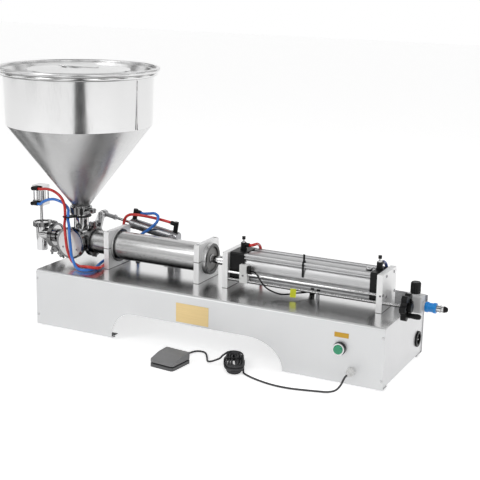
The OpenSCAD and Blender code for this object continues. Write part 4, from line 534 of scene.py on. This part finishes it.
tube("front_actuator_tube", [
    (-306.108, 78, 291.303), (-297.228, 78, 289.840), (-277, 77, 293), (-258, 73, 296), (-243, 66, 291),
    (-242, 59, 278), (-253, 56, 265), (-271, 55, 250), (-291, 56, 236), (-303, 59, 218), (-307, 62, 198),
    (-306, 63, 175), (-306, 63, 166)], TUBE_RADIUS, "blue")
tube("rear_actuator_tube", [
    (-207.933, 78, 275.123), (-216.813, 78, 276.587), (-238, 76, 280), (-262, 71, 284), (-288, 66, 287),
    (-312, 63, 288), (-331, 63, 286), (-346, 65, 277), (-353, 66, 262), (-354, 66, 242), (-352, 66, 212),
    (-350, 66, 175), (-350, 66, 166)], TUBE_RADIUS, "red")
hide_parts("actuator_tubes")
sensor = tube("sensor_lead", [
    (96, -49.15, 213), (105, -49.15, 213), (118, -54, 207), (130, -57, 193), (146, -58, 179), (166, -57, 171),
    (184, -53, 167), (202, -46, 168), (214, -37, 170), (226, -22, 169), (234, -8, 168), (238, 0, 168),
    (238, 9, 168)], CABLE_RADIUS, "black")
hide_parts("sensor_cable")

# Plates on the cabinet's front and the screws at its ends


def pan_screw(name, place, axis, r=3.2, material="polished", body="machine"):
    """Pan head screw with a sunk middle."""
    lathe(name, [(0, 0.9), (0.5, 0.9), (0.9, 1.6), (r * 0.5, 1.75), (r * 0.85, 1.3), (r, 0.5), (r, 0)],
          place, axis, material, body)


plate("name_plate", (93, 50, 0.8), (-13.5, -152.4, 109), "gold", corner=1.5, turn=FACING_FRONT)
plate("button_plate", (36, 12, 0.8), (387, -152.4, 125), "amber", corner=1.2, turn=FACING_FRONT)
for i, (x, z) in enumerate(((-490.6, 134), (-489.3, 33), (489, 134), (489, 28))):
    pan_screw(f"cover_screw_front_{i}", (x, -152, z), FRONT)
    pan_screw(f"cover_screw_back_{i}", (x, 152, z), BACK)

# Small turned trim: the button's collar, the speed controllers, the inlets and the pedal's cord

lathe("button_collar", [(15.52, 0), (15.8, 0), (15.8, 6.6), (15.3, 7.3), (14.75, 7.3), (14.75, 7.04), (15.52, 7.04)],
      (384, -152, 92), FRONT, "satin_black")
for side, x in (("left", 52), ("right", 420)):
    lathe(f"speed_neck_{side}", [(5.02, 0), (5.3, 0), (5.3, 2.7), (4.9, 3.1), (2.8, 3.1), (2.62, 7.8), (2.52, 7.8)],
          (x, 0, 271.5), TOP, "polished")
lathe("nipple_tip", [(6.6, -0.1), (8.2, -0.1), (8.25, 0.4), (5.3, 8.1), (4.8, 8.4), (4.1, 8.3)],
      (583, 10, 174), RIGHT_END, "black")
for i, (y, z) in enumerate(((106, 50), (118, 50), (112, 59))):
    lathe(f"inlet_pin_{i}", [(2.03, 0), (2.15, 0.2), (2.15, 12.8), (1.3, 13.9), (0, 14.1)],
          (479.2, y, z), RIGHT_END, "polished")
lathe("pedal_cord_relief", [(2.43, 0), (4.6, 0), (4.5, 1.6), (3.5, 2.2), (3.7, 4), (2.9, 4.6), (3.1, 6.4), (2.7, 9),
                            (2.43, 9)], pedal_back / MM, pedal_out, "black")

# Screws of the plates, the valve's cover and the slider, and the switches on the barrel

for i, (y, z) in enumerate(((-23.9, 244.9), (31, 243.8), (39.6, 192.9), (-22.1, 192.5))):
    pan_screw(f"rear_plate_screw_{i}", (447, y, z), RIGHT_END, 3.6, "dark_steel")
for i, (x, z) in enumerate(((262, 188.7), (278, 187.8))):
    plate(f"reed_switch_{i}", (9, 4.4, 2.6), (x, -37.4, z), "black", corner=1.2, edge=0.5, turn=FACING_FRONT)
pan_screw("rear_plate_front_screw", (441.7, -50, 201.2), FRONT, 2.4, "dark_steel")
for i, (x, z) in enumerate(((-428.7, 199.3), (-473, 202.4), (-446.4, 249))):
    pan_screw(f"valve_cover_screw_{i}", (x, -56, z), FRONT, 2.6, "dark_steel")
pan_screw("slider_screw", (75.8, -50.75, 198.9), FRONT, 2.6, "dark_steel", "slider")

# Strap over the air cylinder's barrel, from its top edge down to the middle of its front, its end standing up

BARREL_HALF, BARREL_ROUND, BARREL_Z = 36.65, 3.1, 215


def strap(name, x, width, line, thick):
    """Flat strap along a line about the barrel's axis in Y and Z, with closed ends."""
    bm = bmesh.new()
    grow = 1 + thick / 36
    outer = [(y * grow, z * grow) for y, z in line]
    rings = [[bm.verts.new((at * MM, y * MM, (BARREL_Z + z) * MM)) for y, z in outline]
             for at, outline in ((x, line), (x, outer), (x + width, outer), (x + width, line))]
    for low, high in zip(rings, rings[1:] + rings[:1]):
        for k in range(len(low) - 1):
            bm.faces.new((low[k], low[k + 1], high[k + 1], high[k]))
    bm.faces.new([ring[0] for ring in rings])
    bm.faces.new([ring[-1] for ring in rings])
    sharp_edges(piece(name, from_bmesh(bm, name), "satin_black", "machine"))


corner_at = BARREL_HALF - BARREL_ROUND
corner_turn = [(BARREL_ROUND * math.cos(a) - corner_at, BARREL_ROUND * math.sin(a) + corner_at)
               for a in map(math.radians, (90, 112, 135, 158, 180))]
strap("barrel_strap", 231.5, 5.4, [(-27, BARREL_HALF)] + corner_turn + [(-BARREL_HALF, -1)], 0.5)
plate("barrel_strap_head", (7, 6, 4), (234.2, -29, 253.5), "satin_black", corner=1.2, edge=0.6)
plate("barrel_strap_tail", (5.4, 18, 1.1), (234.2, -31, 263), "satin_black", corner=0.5, edge=0.2,
      turn=FACING_FRONT)

# Weld seam up the hopper's wall, a low dressed bead on its outside

seam_angle, seam_reach = math.radians(-7), 199.3
seam = vectors((HOPPER_X + seam_reach * math.cos(seam_angle), seam_reach * math.sin(seam_angle), z)
               for z in (539, 560, 600, 640, 667))
piece("hopper_wall_weld", tube_mesh("hopper_wall_weld", seam, 1.5 * MM, 10), "polished", "machine")

# Eye screw on the barrel, and the plain tag on the sensor's cable

lathe("barrel_eye_screw", [(0, 2), (3.2, 2), (3.6, 3.6), (6.2, 4.4), (7.4, 4.2), (8.4, 3), (8.6, 1.4), (8.4, 0)],
      (396, -6, 251.5), TOP, "satin")
lathe("barrel_eye_socket", [(0, 2.2), (3.1, 2.2), (3.3, 2.05)], (396, -6, 251.5), TOP, "black")
plate("sensor_tag", (15, 22, 0.9), (217, -53, 175), "tag", corner=1.5, edge=0.2,
      turn=(math.radians(80), 0, math.radians(12)))

# Floor, background and light


def studio_material(name, strength):
    """Pale matte surface that glows a little for the camera and for mirrors."""
    material = bpy.data.materials.new(name)
    material.use_nodes = True
    tree = material.node_tree
    shader = tree.nodes["Principled BSDF"]
    shader.inputs["Base Color"].default_value = (0.93, 0.93, 0.93, 1)
    shader.inputs["Roughness"].default_value = 0.9
    shader.inputs["Emission Color"].default_value = (1, 1, 1, 1)
    path = tree.nodes.new("ShaderNodeLightPath")
    seen = tree.nodes.new("ShaderNodeMath")
    seen.operation = "MAXIMUM"
    tree.links.new(path.outputs["Is Camera Ray"], seen.inputs[0])
    tree.links.new(path.outputs["Is Glossy Ray"], seen.inputs[1])
    glow = tree.nodes.new("ShaderNodeMath")
    glow.operation = "MULTIPLY"
    glow.inputs[1].default_value = strength
    tree.links.new(seen.outputs[0], glow.inputs[0])
    tree.links.new(glow.outputs[0], shader.inputs["Emission Strength"])
    return material


def stage_plane(name, corners, material):
    """Four corners as a plane of the studio, which is no piece of the machine."""
    mesh = bpy.data.meshes.new(name)
    mesh.from_pydata(corners, [], [(0, 1, 2, 3)])
    obj = bpy.data.objects.new(name, mesh)
    scene.collection.objects.link(obj)
    obj.data.materials.append(material)
    return obj


FLOOR_REACH = 12
stage_plane("floor", [(x * FLOOR_REACH, y * FLOOR_REACH, 0) for x, y in ((-1, -1), (1, -1), (1, 1), (-1, 1))],
            studio_material("floor_paper", 0.6))

world = bpy.data.worlds.new("studio")
scene.world = world
world.use_nodes = True
nodes, links = world.node_tree.nodes, world.node_tree.links
background = nodes["Background"]
background.inputs["Color"].default_value = (1, 1, 1, 1)
path = nodes.new("ShaderNodeLightPath")
seen = nodes.new("ShaderNodeMath")
seen.operation = "MAXIMUM"
links.new(path.outputs["Is Camera Ray"], seen.inputs[0])
glass = nodes.new("ShaderNodeMath")
glass.operation = "MAXIMUM"
links.new(path.outputs["Is Glossy Ray"], glass.inputs[0])
links.new(path.outputs["Is Transmission Ray"], glass.inputs[1])
links.new(glass.outputs[0], seen.inputs[1])
level_of_light = nodes.new("ShaderNodeMapRange")
level_of_light.inputs["To Min"].default_value = 0.35
level_of_light.inputs["To Max"].default_value = 1.0
links.new(seen.outputs[0], level_of_light.inputs["Value"])
links.new(level_of_light.outputs[0], background.inputs["Strength"])


def lamp(name, place, target, size, power):
    """Area light at a place, turned to a target."""
    data = bpy.data.lights.new(name, "AREA")
    data.shape = "RECTANGLE"
    data.size, data.size_y = size
    data.energy = power
    obj = bpy.data.objects.new(name, data)
    obj.location = place
    obj.rotation_euler = (Vector(target) - Vector(place)).to_track_quat("-Z", "Y").to_euler()
    scene.collection.objects.link(obj)
    return obj


lamp("key", (-1.6, -2.6, 2.4), (0, 0, 0.3), (1.6, 1.6), 26)
lamp("fill", (2.6, -1.6, 1.6), (0, 0, 0.3), (1.2, 1.8), 8)
top_lamp = lamp("top", (0.0, 0.3, 2.8), (0, 0, 0.2), (2.4, 1.4), 14)
top_lamp.visible_glossy = False

# Dark cards that only mirrors see, which give polished metal its contrast


def mirror_only(obj):
    obj.visible_camera = obj.visible_diffuse = obj.visible_shadow = False


def card(name, place, target, width, height, tone):
    """Matte card at a place, turned to a target."""
    material = bpy.data.materials.new(name)
    material.use_nodes = True
    shader = material.node_tree.nodes["Principled BSDF"]
    shader.inputs["Base Color"].default_value = (tone, tone, tone, 1)
    shader.inputs["Roughness"].default_value = 1
    turn = (Vector(target) - Vector(place)).to_track_quat("-Z", "Y").to_matrix()
    corners = [Vector(place) + turn @ Vector((x * width / 2, y * height / 2, 0))
               for x, y in ((-1, -1), (1, -1), (1, 1), (-1, 1))]
    mirror_only(stage_plane(name, [tuple(c) for c in corners], material))


card_low, card_high, card_distance = 0.5, 2.6, 2.3
card_middle = (card_low + card_high) / 2
for i, degrees in enumerate((-170, -134, -98, -62, -26, 10, 46, 82, 154)):
    a = math.radians(degrees)
    card(f"card_{i}", (card_distance * math.cos(a), card_distance * math.sin(a), card_middle), (0, 0, card_middle),
         0.6, card_high - card_low, 0.05)
card("card_over", (0, 0.2, 4.4), (0, 0.2, 0), 4.6, 3.4, 0.55)

# Dark strips at the height of the cabinet's top, which fan out from the hopper; the long one leads to the camera


def fan_strip(name, degrees, near, far, near_half, far_half):
    """Flat strip from one distance to another, with half its width at each end."""
    a = math.radians(degrees)
    out, side = Vector((math.cos(a), math.sin(a), 0)), Vector((-math.sin(a), math.cos(a), 0))
    start = Vector((HOPPER_X * MM, 0, CABINET_TOP))
    corners = [start + out * near - side * near_half, start + out * far - side * far_half,
               start + out * far + side * far_half, start + out * near + side * near_half]
    mirror_only(stage_plane(name, [tuple(c) for c in corners], bpy.data.materials["card_0"]))


fan_strip("strip_camera", -54, 0.42, 6.5, 0.17, 0.75)
for i, degrees in enumerate((-176, -142, -100, 160, 124)):
    fan_strip(f"strip_{i}", degrees, 0.3, 1.4, 0.05, 0.2)

scene.view_settings.view_transform = "Standard"
